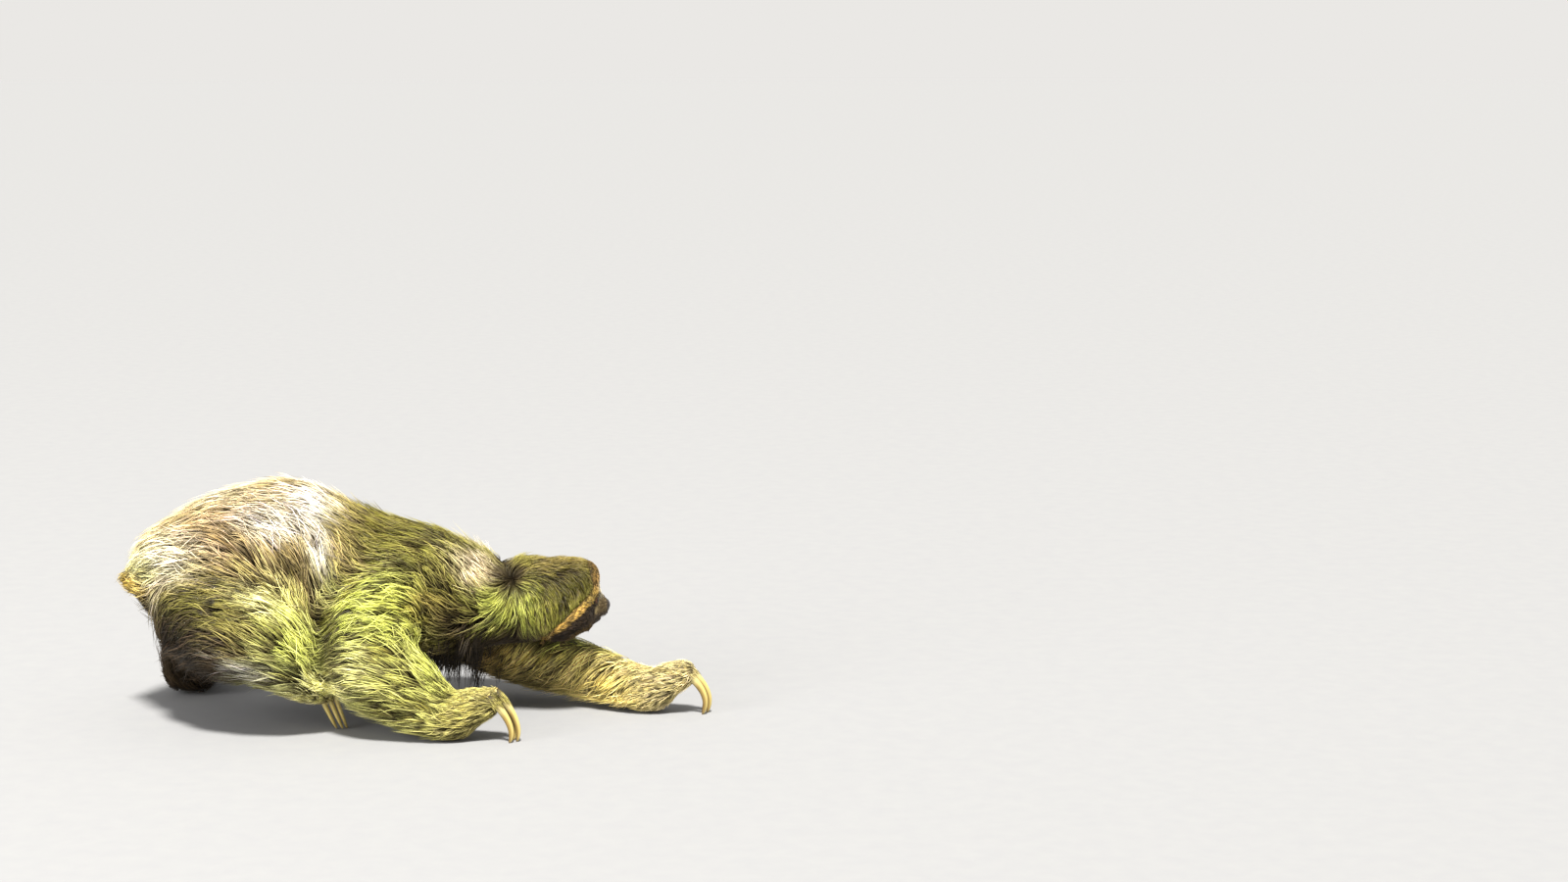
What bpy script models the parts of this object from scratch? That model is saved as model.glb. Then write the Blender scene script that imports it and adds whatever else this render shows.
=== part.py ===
"""A three-toed sloth crawling over flat ground, life size, as solids out to the tips of its coat.

Frame: metres, +Z up, +X the way the animal crawls, +Y its left side, floor at Z = 0.
Each main mass is fused whole (torso, arm, leg) and then parted by thin cuts at its joints, so that
neighbouring solids carry one continuous surface and meet with a hair-thin gap.
"""

import math

import bmesh
import bpy
import numpy as np
from mathutils import Matrix, Vector

# ---------------------------------------------------------------- driving dimensions
GAP = 0.0004  # left between two solids that touch
FLOOR_CUT = 0.0  # level of the small flats that the animal rests on
TORSO_VOXEL, LIMB_VOXEL = 0.0045, 0.0042
TORSO_KEEP, LIMB_KEEP = 0.052, 0.060  # share of the fused faces left after thinning
RING_SIDES = 28  # points round one section of the trunk
EYE_RADIUS = 0.0056

# Trunk and neck, tail end first: (x, middle height, half height, half width).
TRUNK_SECTIONS = (
    (-0.292, 0.172, 0.012, 0.020),
    (-0.280, 0.166, 0.038, 0.050),
    (-0.254, 0.158, 0.063, 0.078),
    (-0.209, 0.152, 0.095, 0.101),
    (-0.157, 0.152, 0.111, 0.110),
    (-0.102, 0.155, 0.108, 0.107),
    (-0.050, 0.150, 0.088, 0.098),
    (0.000, 0.143, 0.077, 0.090),
    (0.040, 0.139, 0.072, 0.080),
    (0.075, 0.134, 0.060, 0.067),
    (0.108, 0.129, 0.049, 0.053),
    (0.140, 0.126, 0.040, 0.044),
)
NECK_START, NECK_END = 0.052, 0.104  # where the neck is parted from the trunk and from the head

# Head: its own frame has the origin at the middle of the skull, +X out of the face, and is turned.
HEAD_PLACE = Vector((0.158, 0.003, 0.128))
HEAD_YAW, HEAD_PITCH = math.radians(11), math.radians(-3)
# Masses of the head: (middle, half sizes, nose-down tilt in degrees); those off the middle are mirrored.
HEAD_MASSES = (
    ((-0.012, 0.000, 0.002), (0.052, 0.054, 0.048), 0),  # skull and crown
    ((0.026, 0.000, 0.012), (0.040, 0.044, 0.034), 0),  # brow
    ((0.046, 0.000, 0.021), (0.020, 0.034, 0.021), 0),  # forelock
    ((0.010, 0.027, -0.012), (0.044, 0.027, 0.036), 20),  # cheek ruffs
    ((0.018, 0.000, -0.025), (0.041, 0.030, 0.023), -20),  # jaw
    ((0.050, 0.000, -0.0125), (0.0235, 0.0195, 0.0150), 10),  # muzzle
    ((0.044, 0.000, -0.0265), (0.0205, 0.0155, 0.0095), -18),  # chin
)
EYE_PLACE = Vector((0.0550, 0.0190, -0.0040))  # left eye in the head's frame
NOSE_PLACE, NOSE_SIZE = Vector((0.0705, 0.0, -0.0125)), (0.0060, 0.0110, 0.0078)

TAIL_BASE, TAIL_TIP = Vector((-0.262, 0.0, 0.152)), Vector((-0.300, 0.0, 0.156))
TAIL_CUT = -0.279

# Limbs: the joints' places and the coat's outer radius at each, root first.
ARM_RIGHT = dict(
    line=(
        ((-0.004, -0.052, 0.150), 0.052),
        ((-0.022, -0.088, 0.118), 0.051),
        ((-0.026, -0.104, 0.085), 0.048),
        ((0.012, -0.113, 0.056), 0.042),
        ((0.060, -0.120, 0.0255), 0.0285),
        ((0.088, -0.126, 0.037), 0.021),
        ((0.108, -0.131, 0.044), 0.0160),
    ),
    middle=2,
    end=4,
)
ARM_LEFT = dict(
    line=(
        ((0.012, 0.058, 0.132), 0.046),
        ((0.070, 0.078, 0.088), 0.042),
        ((0.128, 0.072, 0.056), 0.037),
        ((0.205, 0.040, 0.040), 0.031),
        ((0.272, 0.004, 0.025), 0.026),
        ((0.297, -0.006, 0.038), 0.0195),
        ((0.315, -0.012, 0.047), 0.0160),
    ),
    middle=2,
    end=4,
)
LEG_RIGHT = dict(
    line=(
        ((-0.200, -0.050, 0.138), 0.066),
        ((-0.156, -0.092, 0.117), 0.060),
        ((-0.129, -0.105, 0.106), 0.050),
        ((-0.107, -0.101, 0.083), 0.041),
        ((-0.090, -0.092, 0.061), 0.028),
        ((-0.081, -0.079, 0.0500), 0.0190),
        ((-0.0725, -0.071, 0.0405), 0.0145),
    ),
    middle=2,
    end=4,
)
LEG_LEFT = dict(
    line=(
        ((-0.205, 0.048, 0.130), 0.062),
        ((-0.210, 0.085, 0.110), 0.056),
        ((-0.217, 0.103, 0.086), 0.046),
        ((-0.240, 0.105, 0.057), 0.042),
        ((-0.252, 0.107, 0.030), 0.0335),
        ((-0.247, 0.136, 0.022), 0.024),
        ((-0.238, 0.158, 0.021), 0.0165),
    ),
    middle=2,
    end=4,
)
# Claws of each foot: where each leaves the flesh, where each meets the floor, how far its middle bows
# off the straight line between, and half width and half height at the root.
CLAW_RINGS, CLAW_SIDES = 7, 6
CLAW_TIP_SHARE = 0.42  # thickness at the floor as a share of that at the root
CLAWS = {
    "right_hand": dict(
        roots=((0.110, -0.139, 0.045), (0.117, -0.132, 0.049), (0.114, -0.124, 0.048)),
        tips=((0.128, -0.138, 0.0), (0.1355, -0.1325, 0.0), (0.131, -0.126, 0.0)),
        bow=(0.0075, 0.0, 0.0035),
        thick=(0.0036, 0.0046),
    ),
    "left_hand": dict(
        roots=((0.314, -0.019, 0.048), (0.317, -0.011, 0.051), (0.313, -0.003, 0.049)),
        tips=((0.335, -0.014, 0.0), (0.340, -0.005, 0.0), (0.335, 0.003, 0.0)),
        bow=(0.0095, 0.0, 0.0055),
        thick=(0.0036, 0.0046),
    ),
    "right_foot": dict(
        roots=((-0.080, -0.076, 0.039), (-0.0735, -0.075, 0.043), (-0.067, -0.074, 0.046)),
        tips=((-0.0640, -0.069, 0.0), (-0.0575, -0.069, 0.0), (-0.0530, -0.066, 0.0)),
        bow=(0.0005, -0.0050, 0.0010),
        thick=(0.0029, 0.0036),
    ),
    "left_foot": dict(
        roots=((-0.245, 0.157, 0.023), (-0.238, 0.160, 0.024), (-0.231, 0.157, 0.023)),
        tips=((-0.240, 0.193, 0.0), (-0.229, 0.195, 0.0), (-0.217, 0.189, 0.0)),
        bow=(0.0010, 0.0040, 0.0080),
        thick=(0.0029, 0.0036),
    ),
}

FINISHES = {  # colour, roughness
    "coat_olive": ((0.22, 0.24, 0.04), 0.75),
    "coat_pale": ((0.55, 0.50, 0.32), 0.75),
    "coat_gold": ((0.42, 0.34, 0.10), 0.75),
    "nose_skin": ((0.03, 0.022, 0.018), 0.45),
    "eye_dark": ((0.012, 0.008, 0.006), 0.12),
    "claw_horn": ((0.62, 0.50, 0.20), 0.40),
}


# ---------------------------------------------------------------- small helpers
def material(name):
    """The Principled material of one finish, made once."""
    found = bpy.data.materials.get(name)
    if found:
        return found
    colour, roughness = FINISHES[name]
    made = bpy.data.materials.new(name)
    made.use_nodes = True
    shader = made.node_tree.nodes["Principled BSDF"]
    shader.inputs["Base Color"].default_value = (*colour, 1.0)
    shader.inputs["Roughness"].default_value = roughness
    return made


def place(name, mesh, collection, finish):
    """A named object that holds this mesh, shaded smooth where it is round."""
    made = bpy.data.objects.new(name, mesh)
    collection.objects.link(made)
    mesh.shade_smooth()
    mesh.set_sharp_from_angle(angle=math.radians(50))
    mesh.materials.clear()
    mesh.materials.append(material(finish))
    return made


def mesh_from(name, builder):
    """A mesh made by a function that fills an empty bmesh."""
    bm = bmesh.new()
    builder(bm)
    bmesh.ops.recalc_face_normals(bm, faces=bm.faces)
    mesh = bpy.data.meshes.new(name)
    bm.to_mesh(mesh)
    bm.free()
    return mesh


def evaluated(mesh, set_modifiers):
    """The mesh as a few modifiers leave it; the carrier object is dropped again."""
    carrier = bpy.data.objects.new("carrier", mesh)
    bpy.context.scene.collection.objects.link(carrier)
    set_modifiers(carrier)
    graph = bpy.context.evaluated_depsgraph_get()
    made = bpy.data.meshes.new_from_object(carrier.evaluated_get(graph), depsgraph=graph)
    bpy.data.objects.remove(carrier)
    return made


def joined(meshes):
    """Several meshes as one, still loose shells."""
    bm = bmesh.new()
    for mesh in meshes:
        bm.from_mesh(mesh)
    made = bpy.data.meshes.new("joined")
    bm.to_mesh(made)
    bm.free()
    return made


def fused(meshes, voxel, keep, rounds):
    """Overlapping shells fused to one skin, its creases relaxed, and thinned to a share of its faces."""

    def modifiers(carrier):
        remesh = carrier.modifiers.new("fuse", "REMESH")
        remesh.mode = "VOXEL"
        remesh.voxel_size = voxel
        relax = carrier.modifiers.new("relax", "SMOOTH")
        relax.factor = 0.5
        relax.iterations = rounds
        thin = carrier.modifiers.new("thin", "DECIMATE")
        thin.ratio = keep

    return evaluated(joined(meshes), modifiers)


def swollen(mesh, by):
    """A copy pushed out along its normals, to cut a neighbour with a gap."""
    bm = bmesh.new()
    bm.from_mesh(mesh)
    bm.normal_update()
    for vertex in bm.verts:
        vertex.co += vertex.normal * by
    made = bpy.data.meshes.new("swollen")
    bm.to_mesh(made)
    bm.free()
    return made


def kept_side(mesh, point, normal, shift):
    """The part of a closed mesh on the side that the normal points to, closed by a flat face."""
    bm = bmesh.new()
    bm.from_mesh(mesh)
    normal = Vector(normal).normalized()
    cut = bmesh.ops.bisect_plane(
        bm,
        geom=[*bm.verts, *bm.edges, *bm.faces],
        dist=1e-6,
        plane_co=Vector(point) + normal * shift,
        plane_no=normal,
        clear_inner=True,
    )
    rim = [g for g in cut["geom_cut"] if isinstance(g, bmesh.types.BMEdge)]
    bmesh.ops.holes_fill(bm, edges=rim, sides=0)
    bmesh.ops.triangulate(bm, faces=[f for f in bm.faces if len(f.verts) > 4])
    made = bpy.data.meshes.new("side")
    bm.to_mesh(made)
    bm.free()
    return made


def parted(mesh, planes):
    """The lengths of a mesh between planes (point, normal), first to last, with a gap at each plane."""
    lengths = []
    for i in range(len(planes) + 1):
        length = mesh
        if i > 0:
            point, normal = planes[i - 1]
            length = kept_side(length, point, normal, GAP / 2)
        if i < len(planes):
            point, normal = planes[i]
            length = kept_side(length, point, -Vector(normal), GAP / 2)
        lengths.append(length)
    return lengths


def cut_by(obj, cutter_mesh, cutters):
    """A live Boolean that takes the cutter's shape out of obj."""
    cutter = bpy.data.objects.new(obj.name + "_cutter", cutter_mesh)
    cutters.objects.link(cutter)
    cutter.hide_render = True
    cutter.display_type = "WIRE"
    boolean = obj.modifiers.new("meet_" + cutter.name, "BOOLEAN")
    boolean.operation = "DIFFERENCE"
    boolean.object = cutter


# ---------------------------------------------------------------- forms
def smooth_through(points, steps):
    """A Catmull-Rom curve through rows of numbers, with that many steps between two of them."""
    rows = np.asarray(points, float)
    padded = np.vstack([2 * rows[0] - rows[1], rows, 2 * rows[-1] - rows[-2]])
    out = []
    for i in range(len(rows) - 1):
        a, b, c, d = padded[i : i + 4]
        square = 2 * a - 5 * b + 4 * c - d
        cube = 3 * b - a - 3 * c + d
        for t in np.arange(steps) / steps:
            out.append(0.5 * (2 * b + (c - a) * t + square * t**2 + cube * t**3))
    out.append(rows[-1])
    return np.array(out)


def lofted(name, centres, sideways, upward, sides):
    """A closed loft with a pole at each end: ring i is centres[i] + cos(a) sideways[i] + sin(a) upward[i]."""
    rings = len(centres)
    angle = np.arange(sides) * 2 * math.pi / sides
    ring = (
        centres[:, None]
        + np.cos(angle)[None, :, None] * sideways[:, None]
        + np.sin(angle)[None, :, None] * upward[:, None]
    ).reshape(-1, 3)
    points = np.vstack([ring, centres[:1], centres[-1:]])

    def build(bm):
        verts = [bm.verts.new(p) for p in points]
        for i in range(rings - 1):
            for j in range(sides):
                k = (j + 1) % sides
                low, high = i * sides, (i + 1) * sides
                bm.faces.new([verts[low + j], verts[low + k], verts[high + k], verts[high + j]])
        for j in range(sides):
            k = (j + 1) % sides
            bm.faces.new([verts[-2], verts[k], verts[j]])
            last = (rings - 1) * sides
            bm.faces.new([verts[-1], verts[last + j], verts[last + k]])

    return mesh_from(name, build)


def trunk_mesh():
    """Trunk and neck: upright elliptical sections threaded on the middle plane."""
    x, z, high, wide = smooth_through(TRUNK_SECTIONS, 3).T
    zero = np.zeros_like(x)
    return lofted(
        "trunk",
        np.stack([x, zero, z], 1),
        np.stack([zero, wide, zero], 1),
        np.stack([zero, zero, high], 1),
        RING_SIDES,
    )


def ball(name, matrix, across=24):
    """An ellipsoid: the unit sphere under a matrix."""
    return mesh_from(
        name,
        lambda bm: bmesh.ops.create_uvsphere(
            bm, u_segments=across, v_segments=across * 2 // 3, radius=1.0, matrix=matrix
        ),
    )


def head_frame():
    return (
        Matrix.Translation(HEAD_PLACE)
        @ Matrix.Rotation(HEAD_YAW, 4, "Z")
        @ Matrix.Rotation(HEAD_PITCH, 4, "Y")
    )


def head_masses():
    """The ellipsoids that the head is fused from."""
    made = []
    for middle, size, tilt in HEAD_MASSES:
        for side in (1, -1) if middle[1] else (1,):
            place_of = Vector((middle[0], side * middle[1], middle[2]))
            made.append(
                ball(
                    "head_mass",
                    head_frame()
                    @ Matrix.Translation(place_of)
                    @ Matrix.Rotation(math.radians(tilt), 4, "Y")
                    @ Matrix.Diagonal((*size, 1.0)),
                )
            )
    return made


def tail_mesh():
    """The stub of a tail, a flattened tuft that points back."""
    along = TAIL_TIP - TAIL_BASE
    middle = TAIL_BASE + along * 0.45
    turn = along.to_track_quat("X", "Z").to_matrix().to_4x4()
    return ball("tail", Matrix.Translation(middle) @ turn @ Matrix.Diagonal((0.028, 0.024, 0.017, 1.0)))


def limb_mesh(limb):
    """A limb as a round tube of changing radius with a ball at each end, fused to one skin."""
    line = smooth_through([(*point, radius) for point, radius in limb["line"]], 5)
    curve = bpy.data.curves.new("limb", "CURVE")
    curve.dimensions = "3D"
    curve.bevel_depth = 1.0
    curve.bevel_resolution = 5
    curve.use_fill_caps = True
    spline = curve.splines.new("POLY")
    spline.points.add(len(line) - 1)
    for point, row in zip(spline.points, line):
        point.co = (*row[:3], 1.0)
        point.radius = row[3]
    carrier = bpy.data.objects.new("limb", curve)
    bpy.context.scene.collection.objects.link(carrier)
    graph = bpy.context.evaluated_depsgraph_get()
    tube = bpy.data.meshes.new_from_object(carrier.evaluated_get(graph), depsgraph=graph)
    bpy.data.objects.remove(carrier)
    bm = bmesh.new()
    bm.from_mesh(tube)
    bmesh.ops.remove_doubles(bm, verts=bm.verts, dist=1e-6)
    bm.to_mesh(tube)
    bm.free()
    ends = [
        ball("end", Matrix.Translation(Vector(row[:3])) @ Matrix.Diagonal((*[row[3]] * 3, 1.0)))
        for row in (line[0], line[-1])
    ]
    return fused([tube, *ends], LIMB_VOXEL, LIMB_KEEP, 6)


def joint_planes(limb):
    """A cutting plane at the elbow or knee and one at the wrist or ankle, each halving the bend."""
    points = [Vector(point) for point, _ in limb["line"]]
    planes = []
    for i in (limb["middle"], limb["end"]):
        before = (points[i] - points[i - 1]).normalized()
        after = (points[i + 1] - points[i]).normalized()
        planes.append((points[i], (before + after).normalized()))
    return planes


def claw_mesh(root, tip, bow, thick):
    """A bowed hook from the flesh to the floor, thinning towards its tip."""
    root, tip, bow = (np.array(v, float) for v in (root, tip, bow))
    share = np.linspace(0, 1, CLAW_RINGS)[:, None]
    centres = (1 - share) * root + share * tip + 4 * share * (1 - share) * bow
    along = tip - root + 4 * (1 - 2 * share) * bow
    along /= np.linalg.norm(along, axis=1, keepdims=True)
    side = np.cross(along, bow)
    side /= np.linalg.norm(side, axis=1, keepdims=True)
    outward = np.cross(side, along)
    taper = 1 - (1 - CLAW_TIP_SHARE) * share**1.5
    centres[-1] += along[-1] * thick[1]  # past the floor, where the tip is cut flat
    return lofted("claw", centres, thick[0] * taper * side, thick[1] * taper * outward, CLAW_SIDES)


def on_floor(mesh):
    """The mesh with what reaches below the floor cut off flat."""
    if min(v.co.z for v in mesh.vertices) >= FLOOR_CUT:
        return mesh
    return kept_side(mesh, (0, 0, FLOOR_CUT), (0, 0, 1), 0.0)


# ---------------------------------------------------------------- the animal
def build_torso(nodes, cutters):
    """Trunk, neck, head and tail from one fused mass; returns that mass for the limbs to meet."""
    whole = fused([trunk_mesh(), *head_masses(), tail_mesh()], TORSO_VOXEL, TORSO_KEEP, 5)
    ahead = Vector((1, 0, 0))
    planes = [(Vector((x, 0, 0)), ahead) for x in (TAIL_CUT, NECK_START, NECK_END)]
    finishes = ("coat_pale", "coat_olive", "coat_olive", "coat_olive")
    made = [
        place(name, mesh, nodes, finish)
        for name, mesh, finish in zip(("tail", "trunk", "neck", "head"), parted(whole, planes), finishes)
    ]
    head = made[-1]
    for name, side in (("left_eye", 1), ("right_eye", -1)):
        middle = head_frame() @ Vector((EYE_PLACE.x, side * EYE_PLACE.y, EYE_PLACE.z))
        at = Matrix.Translation(middle)
        place(name, ball(name, at @ Matrix.Scale(EYE_RADIUS, 4), 10), nodes, "eye_dark")
        cut_by(head, ball(name, at @ Matrix.Scale(EYE_RADIUS + GAP, 4), 10), cutters)
    at = head_frame() @ Matrix.Translation(NOSE_PLACE)
    place("nose", ball("nose", at @ Matrix.Diagonal((*NOSE_SIZE, 1.0)), 10), nodes, "nose_skin")
    grown = [size + GAP for size in NOSE_SIZE]
    cut_by(head, ball("nose", at @ Matrix.Diagonal((*grown, 1.0)), 10), cutters)
    return whole


def build_limb(limb, names, meets, nodes, cutters):
    """Three lengths of one limb, its end socketed for three claws; returns the limb as a whole.

    meets lists, for each length, the masses that it gives way to.
    """
    whole = limb_mesh(limb)
    lengths = [on_floor(length) for length in parted(whole, joint_planes(limb))]
    finishes = ("coat_olive", "coat_olive", "coat_gold")
    made = [place(*row[:2], nodes, row[2]) for row in zip(names, lengths, finishes)]
    for obj, masses in zip(made, meets):
        for mass in masses:
            cut_by(obj, swollen(mass, GAP), cutters)
    look = CLAWS[names[-1]]
    sockets = []
    for number, (root, tip) in enumerate(zip(look["roots"], look["tips"]), 1):
        mesh = claw_mesh(root, tip, look["bow"], look["thick"])
        place(f"{names[-1]}_claw_{number}", on_floor(mesh), nodes, "claw_horn")
        sockets.append(swollen(mesh, GAP))
    cut_by(made[-1], joined(sockets), cutters)
    return whole


def centre_on_origin(nodes, cutters):
    """Shifts everything level, so that the origin is under the middle of the animal's box."""
    bpy.context.view_layer.update()
    graph = bpy.context.evaluated_depsgraph_get()
    corners = []
    for obj in nodes.objects:
        mesh = obj.evaluated_get(graph).to_mesh()
        points = np.empty(len(mesh.vertices) * 3)
        mesh.vertices.foreach_get("co", points)
        points = points.reshape(-1, 3)
        corners += [points.min(0), points.max(0)]
    low, high = np.min(corners, 0), np.max(corners, 0)
    empty = bpy.data.objects.new("sloth_frame", None)
    nodes.objects.link(empty)
    empty.location = (-(low[0] + high[0]) / 2, -(low[1] + high[1]) / 2, 0.0)
    for obj in [*nodes.objects, *cutters.objects]:
        if obj is not empty:
            obj.parent = empty
    print("origin shift", [round(c, 5) for c in empty.location])


def main():
    for obj in list(bpy.data.objects):
        bpy.data.objects.remove(obj)
    nodes = bpy.data.collections.new("sloth")
    cutters = bpy.data.collections.new("cutters")
    for collection in (nodes, cutters):
        bpy.context.scene.collection.children.link(collection)
    torso = build_torso(nodes, cutters)
    arm, leg = ("upper_arm", "forearm", "hand"), ("thigh", "shank", "foot")
    right_arm, left_arm = ([f"{side}_{length}" for length in arm] for side in ("right", "left"))
    right_leg, left_leg = ([f"{side}_{length}" for length in leg] for side in ("right", "left"))
    # The right shank and foot lie against the belly, and the right elbow against that shank.
    near_leg = build_limb(LEG_RIGHT, right_leg, ([torso], [torso], [torso]), nodes, cutters)
    build_limb(ARM_RIGHT, right_arm, ([torso, near_leg], [near_leg], []), nodes, cutters)
    build_limb(LEG_LEFT, left_leg, ([torso], [], []), nodes, cutters)
    build_limb(ARM_LEFT, left_arm, ([torso], [], []), nodes, cutters)
    centre_on_origin(nodes, cutters)


main()
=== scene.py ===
import math

import bmesh
import bpy
import numpy as np
from mathutils import Euler, Matrix, Vector


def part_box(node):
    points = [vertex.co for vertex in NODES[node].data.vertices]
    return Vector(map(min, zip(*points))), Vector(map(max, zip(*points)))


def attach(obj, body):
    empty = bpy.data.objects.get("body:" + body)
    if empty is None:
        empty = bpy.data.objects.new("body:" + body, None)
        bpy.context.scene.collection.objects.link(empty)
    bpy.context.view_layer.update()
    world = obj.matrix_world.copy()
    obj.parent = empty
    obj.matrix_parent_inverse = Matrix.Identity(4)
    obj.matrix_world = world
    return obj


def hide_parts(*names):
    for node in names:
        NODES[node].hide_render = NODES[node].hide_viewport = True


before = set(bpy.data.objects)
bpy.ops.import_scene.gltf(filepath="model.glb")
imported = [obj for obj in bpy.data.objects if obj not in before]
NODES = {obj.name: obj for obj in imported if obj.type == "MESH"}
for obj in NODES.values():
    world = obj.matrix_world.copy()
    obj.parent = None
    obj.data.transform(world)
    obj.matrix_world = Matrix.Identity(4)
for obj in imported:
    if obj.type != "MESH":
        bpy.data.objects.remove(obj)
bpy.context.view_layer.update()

# Three-toed sloth, a still model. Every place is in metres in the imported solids' frame:
# the animal faces +X, its right side faces -Y, the floor is at z = 0.

RNG = np.random.default_rng(20)

SIDES = ("right", "left")
LENGTHS_OF_LIMB = ("upper_arm", "forearm", "hand", "thigh", "shank", "foot")
FLESH = ["trunk", "neck", "head", "nose", "tail"]
FLESH += [f"{side}_{part}" for side in SIDES for part in LENGTHS_OF_LIMB]
PAWS = [FLESH.index(f"{side}_{part}") for side in SIDES for part in ("hand", "foot")]

# ---------------------------------------------------------------- named sizes

SWELL = 0.0010  # the solids are swollen by this, so that they overlap across their cuts
WELD = 0.00002
FORM_VOXEL = 0.0040
FORM_ROUNDS = 4  # rounds of smoothing of the outer form

# Depth of the coat over the skin, and length of its hair, by solid.
COAT_DEPTH = dict(trunk=0.0150, neck=0.0120, head=0.0085, nose=0.0004, tail=0.0080,
                  upper_arm=0.0110, forearm=0.0090, hand=0.0045, thigh=0.0130, shank=0.0100,
                  foot=0.0040)
HAIR_LENGTH = dict(trunk=0.052, neck=0.040, head=0.027, nose=0.004, tail=0.021,
                   upper_arm=0.047, forearm=0.043, hand=0.019, thigh=0.050, shank=0.046,
                   foot=0.016)

# Head: its own frame has +X out of the face and the origin in the middle of the skull.
HEAD_AT = Vector((0.1393, -0.0182, 0.1280))
HEAD_YAW, HEAD_PITCH = math.radians(11), math.radians(-3)
# Rim of the long hair round the face, as height in the head's frame against how far forward it is.
RIM_HEIGHT = (-0.0600, -0.0400, -0.0309, -0.0218, -0.0154, -0.0070, 0.0000, 0.0086, 0.0148,
              0.0314, 0.0403, 0.0500)
RIM_FORWARD = (-0.0450, -0.0160, -0.0065, 0.0030, 0.0110, 0.0212, 0.0325, 0.0465, 0.0515,
               0.0505, 0.0500, 0.0590)
EYE_GAZE = Vector((0.80, 0.58, 0.12))  # the left eye's axis in the head's frame
EYE_ROUND = 0.0054
EYE_SUNK = 0.0010  # the ball sits this much deeper than the solid's
LID_HALF_LONG, LID_HALF_HIGH = 0.0040, 0.0028
FACE_HAIR = 0.0012  # height of the short hair of the face
NOSE_AT = np.array((0.0712, 0.0, -0.0125))
NOSE_HALF = np.array((0.0056, 0.0100, 0.0074))

WHORL = (-0.0375, 0.0275, 0.0365)  # the left side's whorl of hair, in the head's frame
TRUNK_MIDDLE = -0.021  # the trunk's middle plane, y
GROIN = -0.112  # x of the line on the flank that the hair fans from

# ---------------------------------------------------------------- small helpers


def unit(vectors):
    """Each row divided by its own length."""
    return vectors / np.maximum(np.linalg.norm(vectors, axis=-1, keepdims=True), 1e-9)


def ease(values, low, high):
    """0 below low, 1 above high, and 3t^2 - 2t^3 of the share between them."""
    share = np.clip((values - low) / (high - low), 0.0, 1.0)
    return share * share * (3.0 - 2.0 * share)


def paint(red, green, blue):
    """A screen colour from 0 to 255 as light: ((c + 0.055) / 1.055) ^ 2.4, or c / 12.92 when dark."""
    shade = np.array((red, green, blue)) / 255.0
    return np.where(shade < 0.04045, shade / 12.92, ((shade + 0.055) / 1.055) ** 2.4)


def collection_object(name, mesh):
    """An object that carries the mesh, lamp or camera, linked into the scene."""
    made = bpy.data.objects.new(name, mesh)
    bpy.context.scene.collection.objects.link(made)
    return made


def read(mesh):
    """Corner places, edges and triangles of a mesh as arrays, with the loops of each triangle."""
    places = np.empty(len(mesh.vertices) * 3, np.float32)
    mesh.vertices.foreach_get("co", places)
    edges = np.empty(len(mesh.edges) * 2, np.int32)
    mesh.edges.foreach_get("vertices", edges)
    mesh.calc_loop_triangles()
    corners = np.empty(len(mesh.loop_triangles) * 3, np.int32)
    mesh.loop_triangles.foreach_get("vertices", corners)
    loops = np.empty(len(mesh.loop_triangles) * 3, np.int32)
    mesh.loop_triangles.foreach_get("loops", loops)
    return (places.reshape(-1, 3).astype(np.float64), edges.reshape(-1, 2),
            corners.reshape(-1, 3), loops.reshape(-1, 3))


def normals_of(places, triangles):
    """Corner normals: the sum of the cross products of the triangles that meet there, made unit."""
    a, b, c = (places[triangles[:, k]] for k in range(3))
    face = np.cross(b - a, c - a)
    total = np.zeros_like(places)
    for axis in range(3):
        for k in range(3):
            total[:, axis] += np.bincount(triangles[:, k], face[:, axis], len(places))
    return unit(total)


def neighbour_table(count, edges):
    """One row for each corner: itself, then the corners that share an edge with it, then itself."""
    pairs = np.concatenate([edges, edges[:, ::-1]])
    pairs = pairs[np.argsort(pairs[:, 0], kind="stable")]
    valence = np.bincount(pairs[:, 0], minlength=count)
    first = np.concatenate([[0], np.cumsum(valence)[:-1]])
    table = np.repeat(np.arange(count)[:, None], valence.max() + 1, axis=1)
    rank = np.arange(len(pairs)) - first[pairs[:, 0]]
    table[pairs[:, 0], rank + 1] = pairs[:, 1]
    return table


def spread(values, table, rounds):
    """Each corner's value goes halfway to the mean of its row of neighbours, again and again."""
    for _ in range(rounds):
        values = 0.5 * values + 0.5 * values[table].mean(axis=1)
    return values


def mesh_of(name, places, faces, smooth=True):
    """A mesh from an array of places and an array of faces that all have as many corners."""
    mesh = bpy.data.meshes.new(name)
    sides = faces.shape[1]
    mesh.vertices.add(len(places))
    mesh.vertices.foreach_set("co", places.astype(np.float32).ravel())
    mesh.loops.add(faces.size)
    mesh.loops.foreach_set("vertex_index", faces.astype(np.int32).ravel())
    mesh.polygons.add(len(faces))
    mesh.polygons.foreach_set("loop_start", np.arange(len(faces), dtype=np.int32) * sides)
    mesh.polygons.foreach_set("use_smooth", np.full(len(faces), smooth))
    mesh.update(calc_edges=True)
    mesh.validate()
    return mesh


def number_on(mesh, name, values):
    """One number for each corner, kept on the mesh by name."""
    mesh.attributes.new(name, "FLOAT", "POINT").data.foreach_set(
        "value", values.astype(np.float32).ravel())


def colour_on(mesh, name, colours):
    """One colour for each corner, kept on the mesh by name."""
    four = np.concatenate([colours, np.ones((len(colours), 1))], axis=1)
    mesh.attributes.new(name, "FLOAT_COLOR", "POINT").data.foreach_set(
        "color", four.astype(np.float32).ravel())


# ---------------------------------------------------------------- the outer form

HEAD_TURN = np.array((Matrix.Rotation(HEAD_YAW, 3, "Z") @ Matrix.Rotation(HEAD_PITCH, 3, "Y")))


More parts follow.
